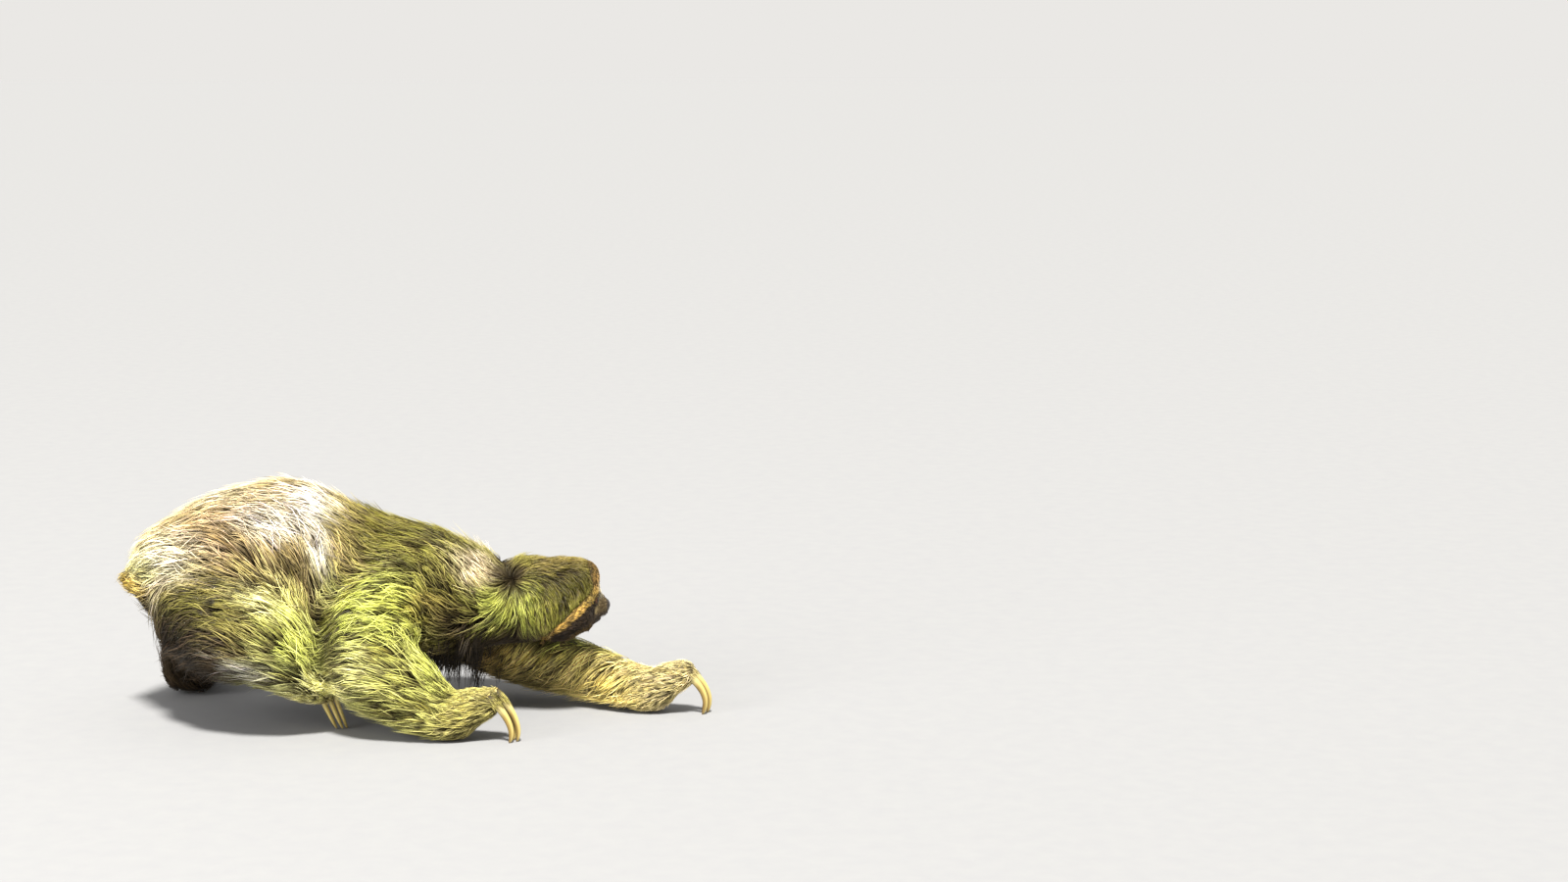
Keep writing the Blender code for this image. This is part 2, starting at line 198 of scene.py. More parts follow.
def in_head(points):
    """Places in the head's own frame: the turn undone about the middle of the skull."""
    return (points - np.array(HEAD_AT)) @ HEAD_TURN


def out_of_head(directions):
    """Directions of the head's own frame turned back into the model's."""
    return directions @ HEAD_TURN.T


def swollen_flesh():
    """The solids of flesh merged, each corner moved out along its normal by SWELL."""
    bm = bmesh.new()
    for name in FLESH:
        bm.from_mesh(NODES[name].data)
    bmesh.ops.remove_doubles(bm, verts=bm.verts, dist=WELD)
    mesh = bpy.data.meshes.new("swollen_flesh")
    bm.to_mesh(mesh)
    bm.free()
    places, _, triangles, _ = read(mesh)
    places = places + normals_of(places, triangles) * SWELL
    mesh.vertices.foreach_set("co", places.astype(np.float32).ravel())
    mesh.materials.clear()
    return mesh


def melted(mesh):
    """One closed form from the overlapping solids, by voxels, with its steps smoothed away."""
    carrier = collection_object("melting", mesh)
    melt = carrier.modifiers.new("melt", "REMESH")
    melt.mode = "VOXEL"
    melt.voxel_size = FORM_VOXEL
    soften = carrier.modifiers.new("soften", "SMOOTH")
    soften.factor = 0.5
    soften.iterations = FORM_ROUNDS
    graph = bpy.context.evaluated_depsgraph_get()
    made = bpy.data.meshes.new_from_object(carrier.evaluated_get(graph))
    bpy.data.objects.remove(carrier)
    return made


def finer(mesh, rule, rounds):
    """Faces whose middle meets the rule are cut in four, and their new corners are smoothed."""
    bm = bmesh.new()
    bm.from_mesh(mesh)
    middles = np.array([face.calc_center_median() for face in bm.faces])
    chosen = np.flatnonzero(rule(in_head(middles)))
    bm.faces.ensure_lookup_table()
    edges = {edge for k in chosen for edge in bm.faces[k].edges}
    cut = bmesh.ops.subdivide_edges(bm, edges=list(edges), cuts=1, use_grid_fill=True)
    inner = [item for item in cut["geom_inner"] if isinstance(item, bmesh.types.BMVert)]
    for _ in range(rounds):
        bmesh.ops.smooth_vert(bm, verts=inner, factor=0.5, use_axis_x=True, use_axis_y=True,
                              use_axis_z=True)
    bm.to_mesh(mesh)
    bm.free()
    return mesh


def face_zone(places):
    """Where the head's front needs finer corners."""
    rim = np.interp(places[:, 2], RIM_HEIGHT, RIM_FORWARD)
    return ((places[:, 0] > rim - 0.006) & (places[:, 0] < 0.090) & (np.abs(places[:, 1]) < 0.055)
            & (places[:, 2] > -0.058))


def muzzle_zone(places):
    """The eyes, nose, lips and chin, where the corners are finest."""
    return (places[:, 0] > 0.046) & (np.abs(places[:, 1]) < 0.032) & (np.abs(places[:, 2] + 0.011) < 0.024)


def distance_to_solids(points):
    """For each point and each solid of flesh, the distance to the solid's nearest corner or face
    middle, from |a - b|^2 = |a|^2 + |b|^2 - 2ab worked out in blocks of rows."""
    samples, starts = [], []
    for name in FLESH:
        places, _, triangles, _ = read(NODES[name].data)
        corners = np.unique(places.round(5), axis=0)
        starts.append(sum(len(block) for block in samples))
        samples.append(np.concatenate([corners, places[triangles].mean(axis=1)]))
    cloud = np.concatenate(samples).astype(np.float32)
    squares = (cloud ** 2).sum(axis=1)
    found = []
    for rows in np.array_split(points.astype(np.float32), max(1, len(points) // 3000)):
        gaps = (rows ** 2).sum(axis=1)[:, None] + squares - 2.0 * rows @ cloud.T
        found.append(np.minimum.reduceat(gaps, starts, axis=1))
    return np.sqrt(np.maximum(np.concatenate(found), 0.0))


def drawn_in(places, triangles, table, depth, steps=5):
    """The skin under the coat: the outer form goes in along its own normals by depth, in equal
    steps with a round of smoothing after each, so that folds and thin parts don't cross."""
    for _ in range(steps):
        places = places - normals_of(places, triangles) * (depth / steps)[:, None]
        soft = spread(places, table, 1)
        share = np.clip(depth / 0.010, 0.0, 1.0)[:, None]
        places = places * (1.0 - share) + soft * share
    return places


# ---------------------------------------------------------------- the lie of the coat


def slope(degrees):
    """A direction in the side view: backward and up by this angle above the horizontal."""
    turn = np.radians(degrees)
    return np.stack([-np.cos(turn), np.zeros_like(turn), np.sin(turn)], axis=-1)


def lie_on_trunk(p, n):
    """Hair fans up and back from the groin: upright over it, flatter toward rump and shoulder,
    backward along the spine, and outward to both sides from the middle of the belly."""
    angle = np.interp(p[:, 0], (-0.30, -0.25, -0.20, -0.15, GROIN, -0.085, -0.05, 0.03),
                      (8.0, 22.0, 32.0, 48.0, 74.0, 80.0, 60.0, 50.0))
    angle = angle * (1.0 - 0.75 * ease(n[:, 2], 0.55, 0.95))
    lie = slope(angle)
    belly = ease(-n[:, 2], 0.2, 0.8)[:, None]
    outward = np.stack([np.full(len(p), -0.5), np.sign(p[:, 1] - TRUNK_MIDDLE) * 0.8,
                        np.zeros(len(p))], axis=1)
    return lie * (1.0 - belly) + outward * belly


def lie_on_hind_leg(p, n):
    """Along the front edge steeply up, flatter behind it, and drooping at the rear and lower edge."""
    angle = np.interp(p[:, 0], (-0.29, -0.25, -0.20, -0.15, -0.09), (-22.0, 0.0, 20.0, 38.0, 62.0))
    droop = ease(0.105 - p[:, 2], 0.0, 0.05) * ease(-0.10 - p[:, 0], 0.0, 0.05)
    rear = ease(-n[:, 0], 0.45, 0.80)
    return slope(angle - 34.0 * droop - 60.0 * rear)


def lie_on_fore_leg(p, n):
    """Steep along the front edge, arcing over to the rear, where the tips droop."""
    low = np.interp(p[:, 0] + 0.45 * (p[:, 2] - 0.08), (-0.09, -0.05, -0.01, 0.03, 0.06),
                    (-28.0, 4.0, 24.0, 40.0, 58.0))
    high = np.interp(p[:, 0], (-0.09, -0.05, -0.01, 0.03), (-40.0, -14.0, 6.0, 30.0))
    angle = low + (high - low) * ease(p[:, 2], 0.095, 0.135)
    droop = ease(0.045 - p[:, 2], 0.0, 0.04)
    return slope(angle - 36.0 * droop)


def lie_on_far_limb(toward, droop):
    """Toward the body along the limb, with the tips of its underside hanging."""
    def lie(p, n):
        fall = ease(-n[:, 2], -0.2, 0.9)[:, None] * droop
        return np.array(toward) * (1.0 - 0.5 * fall) + np.array((-0.2, 0.0, -1.0)) * fall
    return lie


def lie_on_far_arm(p, n):
    """Swept toward the elbow, and falling on both sides from the upper ridge of the arm."""
    return np.stack([np.full(len(p), -0.75), 0.6 * n[:, 1], np.full(len(p), -0.62)], axis=1)


def lie_on_neck(p, n):
    """Upward and back on the side and nape, hanging and swept back underneath."""
    angle = np.interp(p[:, 2], (0.090, 0.112, 0.130, 0.170), (-62.0, -18.0, 38.0, 66.0))
    return slope(angle)


def lie_on_head(p, n):
    """Hair springs from a whorl on each side of the skull. In front of it a parting runs forward
    to the brow: above that line hair lies forward along the crown, below it each strand arcs
    over and falls straight down the cheek; behind the whorl it goes down and back. In the face
    it lies back from the nose, up over the brow and down over the cheek."""
    h = in_head(p)
    side = np.sign(h[:, 1])
    ahead = ease(h[:, 0] - WHORL[0] - 0.008 * ripple(p, 0.022, 2.6), -0.006, 0.010)
    below = np.maximum(np.interp(h[:, 0], (-0.045, 0.000, 0.035), (0.033, 0.039, 0.041)) - h[:, 2], 0.0)
    fallen = 1.0 - np.exp(-below / 0.009)
    forth = ahead * (1.5 * np.exp(-below / 0.012) + 0.08) - (1.0 - ahead) * 0.62
    fall = np.stack([forth, side * 0.30 * fallen, -fallen - 0.03], axis=1)
    gap = h - np.stack([np.full(len(h), WHORL[0]), side * WHORL[1], np.full(len(h), WHORL[2])], axis=1)
    near = 0.8 * np.exp(-(np.linalg.norm(gap, axis=1) / 0.011) ** 2)[:, None]
    fall = unit(fall) * (1.0 - near) + unit(gap) * near
    under = ease(-h[:, 2], 0.034, 0.050)[:, None]
    fall = fall * (1.0 - under) + np.array((-0.9, 0.0, -0.35)) * under
    back = h - np.array((0.082, 0.0, -0.012))
    back = unit(back * np.array((1.0, 1.2, 1.0)))
    brow = ease(h[:, 2], -0.002, 0.010)[:, None]
    face = back * (1.0 - brow) + np.stack([np.full(len(h), -0.3), side * 0.25,
                                           np.ones(len(h))], axis=1) * brow
    inside = in_face(h)[:, None]
    return out_of_head(fall * (1.0 - inside) + face * inside)


def in_face(h):
    """1 inside the rim of long hair round the face, 0 outside it."""
    rim = np.interp(h[:, 2], RIM_HEIGHT, RIM_FORWARD)
    return ease(h[:, 0] - rim, -0.0015, 0.0015)


LIES = dict(
    trunk=lie_on_trunk, tail=lambda p, n: slope(np.full(len(p), -4.0)), neck=lie_on_neck,
    head=lie_on_head, nose=lie_on_head,
    right_upper_arm=lie_on_fore_leg, right_forearm=lie_on_fore_leg,
    right_hand=lie_on_far_limb((-1.0, 0.0, 0.05), 0.3),
    right_thigh=lie_on_hind_leg, right_shank=lie_on_hind_leg,
    right_foot=lie_on_far_limb((-0.4, -0.1, 0.9), 0.2),
    left_upper_arm=lie_on_far_arm, left_forearm=lie_on_far_arm,
    left_hand=lie_on_far_limb((-1.0, 0.1, 0.0), 0.4),
    left_thigh=lie_on_far_limb((-0.95, 0.0, 0.15), 0.6),
    left_shank=lie_on_far_limb((-0.5, -0.3, 0.7), 0.3),
    left_foot=lie_on_far_limb((-0.1, -0.9, 0.4), 0.2),
)


def lie_of_coat(places, normals, shares, table):
    """Which way the tips point at each corner: the rules of the solids mixed by their shares,
    laid on the surface, spread to the neighbours so that streams turn smoothly, and made unit."""
    lie = np.zeros_like(places)
    for k, name in enumerate(FLESH):
        lie += unit(LIES[name](places, normals)) * shares[:, k:k + 1]
    for _ in range(4):
        lie = unit(lie - (lie * normals).sum(axis=1, keepdims=True) * normals)
        lie = spread(lie, table, 3)
    return unit(lie - (lie * normals).sum(axis=1, keepdims=True) * normals)


# ---------------------------------------------------------------- markings

OLIVE = paint(146, 144, 58)
DEEP_OLIVE = paint(124, 120, 38)
BRIGHT = paint(216, 224, 108)
STRAW = paint(240, 238, 156)
CREAM = paint(255, 252, 234)
TAN = paint(220, 196, 126)
BROWN = paint(122, 102, 56)
UMBER = paint(88, 72, 46)
DARK = paint(46, 38, 28)
GOLD_TAN = paint(232, 214, 136)
FAWN = paint(242, 226, 156)
ROSE = paint(255, 236, 190)
BLUSH = paint(232, 204, 152)
BUTTER = paint(255, 248, 208)
GREY = paint(224, 222, 204)
BRONZE = paint(176, 150, 66)

GROUND_COLOUR = dict(
    trunk=TAN, neck=OLIVE, head=OLIVE, nose=UMBER, tail=GOLD_TAN,
    right_upper_arm=BRIGHT, right_forearm=paint(212, 212, 116), right_hand=paint(226, 216, 122),
    right_thigh=paint(166, 158, 82), right_shank=paint(206, 208, 126), right_foot=paint(250, 232, 146),
    # The far forearm's gold is raised past its own colour as painted light, because the far arm lies partly
    # in the body's shade.
    left_upper_arm=paint(232, 204, 122), left_forearm=paint(240, 222, 134) * 1.4, left_hand=FAWN * 1.1,
    # The far hind leg's dark umber is painted shade: that leg stands in the shadow of the body.
    left_thigh=UMBER * 0.8, left_shank=UMBER * 0.5, left_foot=UMBER * 0.7,
)

# Patches: (middle, half sizes, colour, strength, on both sides of the animal).
PATCHES = (
    ((-0.020, -0.021, 0.200), (0.085, 0.110, 0.085), DEEP_OLIVE, 1.0, False),
    ((0.015, -0.070, 0.190), (0.045, 0.060, 0.035), OLIVE, 0.8, True),
    ((-0.150, -0.100, 0.170), (0.080, 0.060, 0.035), TAN * 0.85, 0.7, True),
    ((-0.215, -0.130, 0.150), (0.060, 0.050, 0.028), OLIVE, 0.6, True),
    ((-0.200, -0.095, 0.222), (0.062, 0.055, 0.036), BLUSH, 0.85, True),
    ((-0.210, -0.030, 0.252), (0.070, 0.042, 0.014), BUTTER * 0.85, 0.6, True),
    ((-0.148, -0.096, 0.231), (0.034, 0.036, 0.020), CREAM, 1.0, True),
    ((-0.112, -0.058, 0.243), (0.028, 0.046, 0.028), CREAM, 1.0, True),
    ((-0.136, -0.074, 0.243), (0.008, 0.022, 0.016), BLUSH * 0.9, 0.7, True),
    ((-0.096, -0.108, 0.200), (0.013, 0.040, 0.032), CREAM, 0.9, True),
    ((-0.088, -0.121, 0.160), (0.016, 0.040, 0.022), STRAW, 0.8, True),
    ((-0.270, -0.088, 0.192), (0.046, 0.066, 0.032), BUTTER * 1.2, 1.0, True),
    ((-0.278, -0.055, 0.222), (0.016, 0.030, 0.010), DARK, 0.7, False),
    ((-0.298, -0.062, 0.174), (0.030, 0.060, 0.016), STRAW * 1.15, 0.9, True),
    ((-0.312, -0.048, 0.152), (0.028, 0.060, 0.015), paint(232, 200, 92), 1.0, True),
    ((-0.098, -0.123, 0.135), (0.014, 0.040, 0.018), UMBER, 0.8, True),
    ((-0.118, -0.125, 0.178), (0.026, 0.045, 0.018), BROWN * 0.85, 0.9, True),
    ((-0.143, -0.150, 0.158), (0.028, 0.040, 0.019), STRAW * 1.45, 1.0, True),
    ((-0.115, -0.150, 0.110), (0.030, 0.040, 0.032), BRIGHT * 1.4, 0.85, True),
    ((-0.178, -0.160, 0.102), (0.034, 0.040, 0.018), BROWN, 0.6, True),
    ((-0.168, -0.160, 0.078), (0.022, 0.045, 0.016), GREY, 0.95, True),
    ((-0.020, -0.135, 0.150), (0.045, 0.045, 0.030), BRIGHT * 1.45, 0.85, True),
    ((-0.052, -0.160, 0.088), (0.024, 0.040, 0.036), STRAW, 0.6, True),
    # Painted shade in the crease between the near hind leg and the near arm.
    ((-0.082, -0.150, 0.108), (0.012, 0.050, 0.045), UMBER * 0.5, 0.95, True),
    ((0.014, -0.110, 0.138), (0.022, 0.035, 0.022), BRONZE, 0.8, True),
    ((0.030, -0.125, 0.085), (0.026, 0.050, 0.055), BRIGHT * 1.2, 0.95, True),
    ((0.050, -0.090, 0.120), (0.040, 0.035, 0.022), BROWN, 0.8, True),
    ((0.070, -0.070, 0.106), (0.050, 0.045, 0.018), UMBER, 0.85, True),
    ((0.071, -0.060, 0.169), (0.024, 0.034, 0.023), ROSE, 1.0, True),
    ((0.106, -0.072, 0.128), (0.032, 0.035, 0.030), BRIGHT * 1.45, 0.9, True),
    ((0.104, -0.056, 0.156), (0.012, 0.020, 0.014), UMBER * 0.8, 0.9, True),
    ((0.115, -0.055, 0.094), (0.055, 0.050, 0.014), UMBER, 0.9, True),
    ((0.155, -0.030, 0.172), (0.045, 0.050, 0.012), BROWN * 1.35, 0.6, True),
    ((0.168, -0.050, 0.150), (0.028, 0.030, 0.026), DEEP_OLIVE * 0.85, 0.85, True),
    ((0.205, 0.005, 0.076), (0.080, 0.050, 0.012), BRIGHT * 1.2, 0.95, False),
    ((0.150, 0.010, 0.028), (0.050, 0.050, 0.022), UMBER, 0.5, False),
)
# The near hind foot's golden hair is painted brighter than its own colour, as painted light, because the
# thigh shades it.
PAW_GOLD_AND_LIGHT_AT, PAW_GOLD_AND_LIGHT_HALF = (-0.094, -0.140, 0.050), (0.030, 0.050, 0.024)  # golden hair of the near hind foot
# The belly, chest and armpits are painted in shade: everything that looks down between the limbs is darkened.
UNDER_SHADE_FRONT, UNDER_SHADE_BACK = 0.13, -0.26

# Face, in the head's frame as (forward, up) lines: the pale stripe over the dark one, both
# running from the nose past the eye to the rim of hair behind the cheek.
CHEEK_STRIPE = ((0.0650, 0.0100), (0.0530, 0.0040), (0.0420, -0.0025), (0.0300, -0.0087),
                (0.0180, -0.0172), (0.0050, -0.0262), (-0.0060, -0.0350))
EYE_STRIPE = ((0.0600, -0.0015), (0.0530, -0.0090), (0.0438, -0.0155), (0.0341, -0.0203),
              (0.0226, -0.0272), (0.0110, -0.0365))
BROW_GOLD = paint(198, 158, 80)
BROW_TOP = paint(112, 90, 44)
CHEEK_GOLD = paint(255, 210, 104)
TEMPLE_GOLD = paint(250, 216, 116)
BRIDGE_HIGHLIGHT = paint(255, 246, 206)
EYE_BROWN = paint(36, 26, 24)
MUZZLE = paint(108, 91, 58)
PALE_BAND = paint(212, 190, 132)
LIP = paint(62, 55, 55)
JAW = paint(112, 90, 52)
NOSE_DARK = paint(44, 36, 31)


def near_line(x, z, line):
    """Distance in the side view from each point to a line of straight lengths."""
    best = np.full(len(x), 1.0)
    for (ax, az), (bx, bz) in zip(line[:-1], line[1:]):
        run = np.array((bx - ax, bz - az))
        share = np.clip(((x - ax) * run[0] + (z - az) * run[1]) / (run @ run), 0.0, 1.0)
        best = np.minimum(best, np.hypot(x - ax - share * run[0], z - az - share * run[1]))
    return best


def laid(base, colour, mask):
    """A colour laid over the ones there as far as the mask says, from 0 to 1."""
    return base + (colour - base) * mask[:, None]


def face_markings(base, h):
    """The face: brow, pale and dark stripe, a painted highlight on the bridge, muzzle, pale band, lips
    and jaw, and a painted shadow under the rim of long hair, each laid over the one before it with
    an eased edge round its line or ellipse."""
    x, y, z = h[:, 0], np.abs(h[:, 1]), h[:, 2]
    face = laid(base, JAW, np.ones(len(h)))
    face = laid(face, BROW_GOLD, ease(z, 0.000, 0.010))
    face = laid(face, BROW_TOP, ease(z, 0.018, 0.034) * (1.0 - 0.6 * ease(x, 0.054, 0.060)))
    face = laid(face, EYE_BROWN, 1.0 - ease(near_line(x, z, EYE_STRIPE), 0.0068, 0.0092))
    face = laid(face, CHEEK_GOLD, 1.0 - ease(near_line(x, z, CHEEK_STRIPE), 0.0034, 0.0048))
    temple = np.exp(-(((x - 0.0500) / 0.0100) ** 2 + ((z - 0.0045) / 0.0075) ** 2) ** 2)
    face = laid(face, TEMPLE_GOLD, 0.9 * temple)
    # A painted highlight: the bridge of the nose is made pale cream as if lit from the front.
    bridge = ease(x, 0.0535, 0.0590) * np.exp(-((z - 0.0080) / 0.0095) ** 2) * np.exp(-(y / 0.018) ** 4)
    face = laid(face, BRIDGE_HIGHLIGHT, bridge)
    muzzle = ease(x - 0.25 * z, 0.0600, 0.0640) * ease(-z, 0.000, 0.004)
    face = laid(face, MUZZLE, muzzle)
    band = np.exp(-((x - 0.25 * z - 0.0610) / 0.0022) ** 2) * ease(-z, -0.004, 0.002)
    face = laid(face, PALE_BAND, 0.9 * band * ease(0.020 - z, 0.0, 0.010) * ease(-0.024 - z, 0.004, -0.004))
    lips = ease(x, 0.046, 0.054) * ease(-z, 0.0155, 0.0195) * ease(0.040 + z, 0.0, 0.006)
    face = laid(face, LIP, 0.85 * lips)
    # Painted shadow: a dark band along the front of the rim of long hair, where the overhanging hair shades
    # the face.
    under_rim = x - np.interp(h[:, 2], RIM_HEIGHT, RIM_FORWARD) - 0.0010
    face = laid(face, DARK * 1.2, 0.85 * np.exp(-(under_rim / 0.0030) ** 2) * ease(0.036 - z, 0.0, 0.010))
    pad = nose_pad(h)
    return laid(face, NOSE_DARK, pad)


def nose_pad(h):
    """1 on the bare nose: inside an ellipsoid a little larger than its pad."""
    gap = (h - NOSE_AT) / (NOSE_HALF * np.array((1.25, 1.04, 1.04)))
    return 1.0 - ease(np.linalg.norm(gap, axis=1), 0.92, 1.06)


# Painted shadow under the rump: behind this edge the rear side of the haunch, between the near thigh and the
# far hind leg, is laid near black, and brown further back.
REAR_SHADE_HEIGHTS = (0.060, 0.075, 0.122, 0.170)
REAR_SHADE_LINE = (-0.158, -0.178, -0.206, -0.246)  # the dark rear's edge, x at those heights
OF_REAR_SHADE = [FLESH.index(name) for name in ("trunk", "right_thigh", "right_shank", "left_thigh", "tail")]


def ripple(p, across, turn):
    """A slow random-looking wave over places, from -1 to 1: the mean of sines in three directions."""
    k = 2.0 * np.pi / across
    waves = (np.sin(k * (p @ (0.8, 0.1, 0.6)) + turn), np.sin(k * (p @ (-0.5, 0.7, 0.6)) + 2.1 * turn),
             np.sin(k * 1.7 * (p @ (0.3, -0.6, 0.7)) + 3.7 * turn))
    return sum(waves) / 3.0


def markings(places, normals, shares):
    """The colour of skin and coat at each place: each solid's ground colour mixed by the shares,
    then soft ellipsoidal patches exp(-gap^4) laid over it in order, then painted shade on the
    underside, the near hind foot's golden hair brightened as painted light, a mottle, painted
    shadow under the rump, then the face inside its rim of hair."""
    colours = np.zeros_like(places)
    for k, name in enumerate(FLESH):
        colours += GROUND_COLOUR[name] * shares[:, k:k + 1]
    for middle, half, colour, strength, both in PATCHES:
        gap = (places - np.array(middle)) / np.array(half)
        if both:
            far = (places[:, 1] > TRUNK_MIDDLE)
            mirrored = 2.0 * TRUNK_MIDDLE - middle[1]
            gap[:, 1] = np.where(far, (places[:, 1] - mirrored) / half[1], gap[:, 1])
        colours = laid(colours, colour, strength * np.exp(-(gap ** 2).sum(axis=1) ** 2))
    # Painted shade: dark is laid on whatever faces down between the belly's two ends, strongest near the
    # middle plane.
    inner = ease(0.050 - np.abs(places[:, 1] - TRUNK_MIDDLE), -0.03, 0.03)
    below = ease(-normals[:, 2], 0.15, 0.75) * ease(places[:, 0], UNDER_SHADE_BACK, UNDER_SHADE_BACK + 0.03)
    below = below * (1.0 - ease(places[:, 0], UNDER_SHADE_FRONT, UNDER_SHADE_FRONT + 0.03))
    colours = laid(colours, DARK, 0.9 * below * np.maximum(inner, 0.35))
    # Painted light over real golden hair: the near hind foot is laid brighter than white straw.
    paw = np.exp(-(((places - PAW_GOLD_AND_LIGHT_AT) / PAW_GOLD_AND_LIGHT_HALF) ** 2).sum(axis=1) ** 2)
    colours = laid(colours, STRAW * 1.4, paw)
    mottle = ripple(places, 0.060, 0.4) + 0.6 * ripple(places, 0.026, 1.9)
    colours = colours * (1.0 + 0.16 * mottle)[:, None]
    # Painted shadow under the rump, behind the edge given above.
    rear = np.interp(places[:, 2], REAR_SHADE_HEIGHTS, REAR_SHADE_LINE)
    behind = ease(rear - places[:, 0], -0.004, 0.010) * ease(0.150 - places[:, 2], 0.0, 0.012)
    behind = behind * ease(shares[:, OF_REAR_SHADE].sum(axis=1), 0.3, 0.7)
    colours = laid(colours, UMBER * 0.14, behind)
    colours = laid(colours, UMBER * 0.50, 0.7 * behind * ease(rear - places[:, 0], 0.044, 0.058))
    h = in_head(places)
    inside = in_face(h) * ease(shares[:, FLESH.index("head")] + shares[:, FLESH.index("nose")], 0.3, 0.7)
    return laid(colours, face_markings(colours, h), inside)


# ---------------------------------------------------------------- folds of the face


def eye_frame(side):
    """The middle of an eye and its own axes in the head's frame: out, toward the nose, and up."""
    low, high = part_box(f"{side}_eye")
    middle = in_head(np.array([(low + high) / 2.0]))[0]
    out = np.array(EYE_GAZE.normalized()) * (1.0, 1.0 if side == "left" else -1.0, 1.0)
    middle = middle - out * EYE_SUNK + np.array((0.0006, 0.0, 0.0012))
    along = unit(np.array([np.cross(out, (0.0, 0.0, 1.0))]))[0]
    along = along if along[0] > 0.0 else -along
    return middle, out, along, unit(np.array([np.cross(along, out) * np.sign(np.cross(along, out)[2])]))[0]


def with_lids(h):
    """Round each eye the skin goes to a shell a little larger than the ball, with a raised rim,
    and inside the slit it goes behind the ball's front. The slit is an ellipse, tilted down
    toward the nose; its ring number is 1 on the lid's edge."""
    for side in SIDES:
        middle, out, along, up = eye_frame(side)
        gap = h - middle
        reach = np.linalg.norm(gap, axis=1)
        a, b = gap @ along, gap @ up
        a, b = a * 0.97 - b * 0.24, b * 0.97 + a * 0.24
        ring = np.hypot(a / LID_HALF_LONG, b / LID_HALF_HIGH)
        front = (gap @ out > 0.0) & (reach < 0.020)
        rim = 0.0007 * np.exp(-((ring - 1.22) / 0.20) ** 2) - 0.0004 * np.exp(-((ring - 1.75) / 0.18) ** 2)
        shell = EYE_ROUND + 0.0005 + rim - 0.0032 * (1.0 - ease(ring, 0.84, 1.02))
        target = middle + gap / np.maximum(reach, 1e-6)[:, None] * shell[:, None]
        hold = np.where(front, 1.0 - ease(ring, 1.55, 2.5), 0.0)[:, None]
        h = h + (target - h) * hold
    return h


MOUTH_LINE = ((0.0695, -0.0232), (0.0640, -0.0242), (0.0560, -0.0248), (0.0480, -0.0232))


def with_muzzle(h, n):
    """The nose pad stands proud with two comma-shaped nostrils and a groove under it; the mouth is
    a groove round the muzzle that rises at its corners, with the lower lip full beneath it."""
    x, y, z = h[:, 0], np.abs(h[:, 1]), h[:, 2]
    pad = nose_pad(h)
    rim = np.exp(-((np.linalg.norm((h - NOSE_AT) / (NOSE_HALF * 1.22), axis=1) - 1.0) / 0.10) ** 2)
    rise = 0.0002 * pad - 0.0004 * rim * ease(x, 0.062, 0.068)
    rise += 0.0006 * ease(x, 0.054, 0.063) * ease(0.002 - z, 0.0, 0.004) * (1.0 - 0.6 * pad)
    front = ease(x, 0.066, 0.070)
    curl = np.hypot((y - 0.0044 - 0.35 * (z + 0.0135)) / 0.0016, (z + 0.0132) / 0.0024)
    rise -= 0.0030 * front * np.exp(-curl ** 2 * 1.2)
    rise -= 0.0009 * front * np.exp(-(y / 0.0008) ** 2) * ease(-z, 0.0110, 0.0150) * ease(z, -0.0240, -0.0215)
    lip = near_line(x, z, MOUTH_LINE)
    mouth = ease(x, 0.046, 0.052)
    rise -= 0.0016 * mouth * np.exp(-(lip / 0.0011) ** 2)
    rise += 0.0007 * mouth * np.exp(-((z + 0.0282) / 0.0024) ** 2)
    rise += 0.0006 * mouth * np.exp(-((z + 0.0200) / 0.0020) ** 2) * ease(y, 0.003, 0.007)
    return h + n * rise[:, None]


def rim_of_hair(h, n):
    """The long hair round the face ends in a step: skin in front of it drops by the coat's depth
    over a few millimetres, and a brow ridge stands over the eyes."""
    brow = np.exp(-((h[:, 2] - 0.0060) / 0.0050) ** 2) * ease(h[:, 0], 0.045, 0.055)
    bridge = np.exp(-((h[:, 2] + 0.0010) / 0.0050) ** 2) * ease(h[:, 0], 0.056, 0.064)
    bridge = bridge * np.exp(-(h[:, 1] / 0.0090) ** 2)
    return h + n * (0.0002 + 0.0006 * brow + 0.0012 * bridge)[:, None]


# ---------------------------------------------------------------- the form, worked out once

form = melted(swollen_flesh())
form = finer(form, face_zone, 3)
form = finer(form, face_zone, 2)
form = finer(form, muzzle_zone, 2)
O, EDGES, TRIANGLES, LOOPS = read(form)
TABLE = neighbour_table(len(O), EDGES)
O[:, 2] = np.maximum(O[:, 2], 0.0006)
H = in_head(O)
IN_HEAD_FACE = face_zone(H)
soft = spread(O, TABLE, 3)
O[IN_HEAD_FACE] = soft[IN_HEAD_FACE]
N = normals_of(O, TRIANGLES)

gaps = distance_to_solids(O)
SHARES = np.exp(-(gaps - gaps.min(axis=1, keepdims=True)) / 0.0045)
SHARES = spread(SHARES / SHARES.sum(axis=1, keepdims=True), TABLE, 5)
SHARES = SHARES / SHARES.sum(axis=1, keepdims=True)


def by_solid(table_of_sizes):
    """A size that blends from solid to solid by the shares."""
    sizes = [table_of_sizes.get(name, table_of_sizes.get(name.split("_", 1)[-1])) for name in FLESH]
    return SHARES @ np.array(sizes)


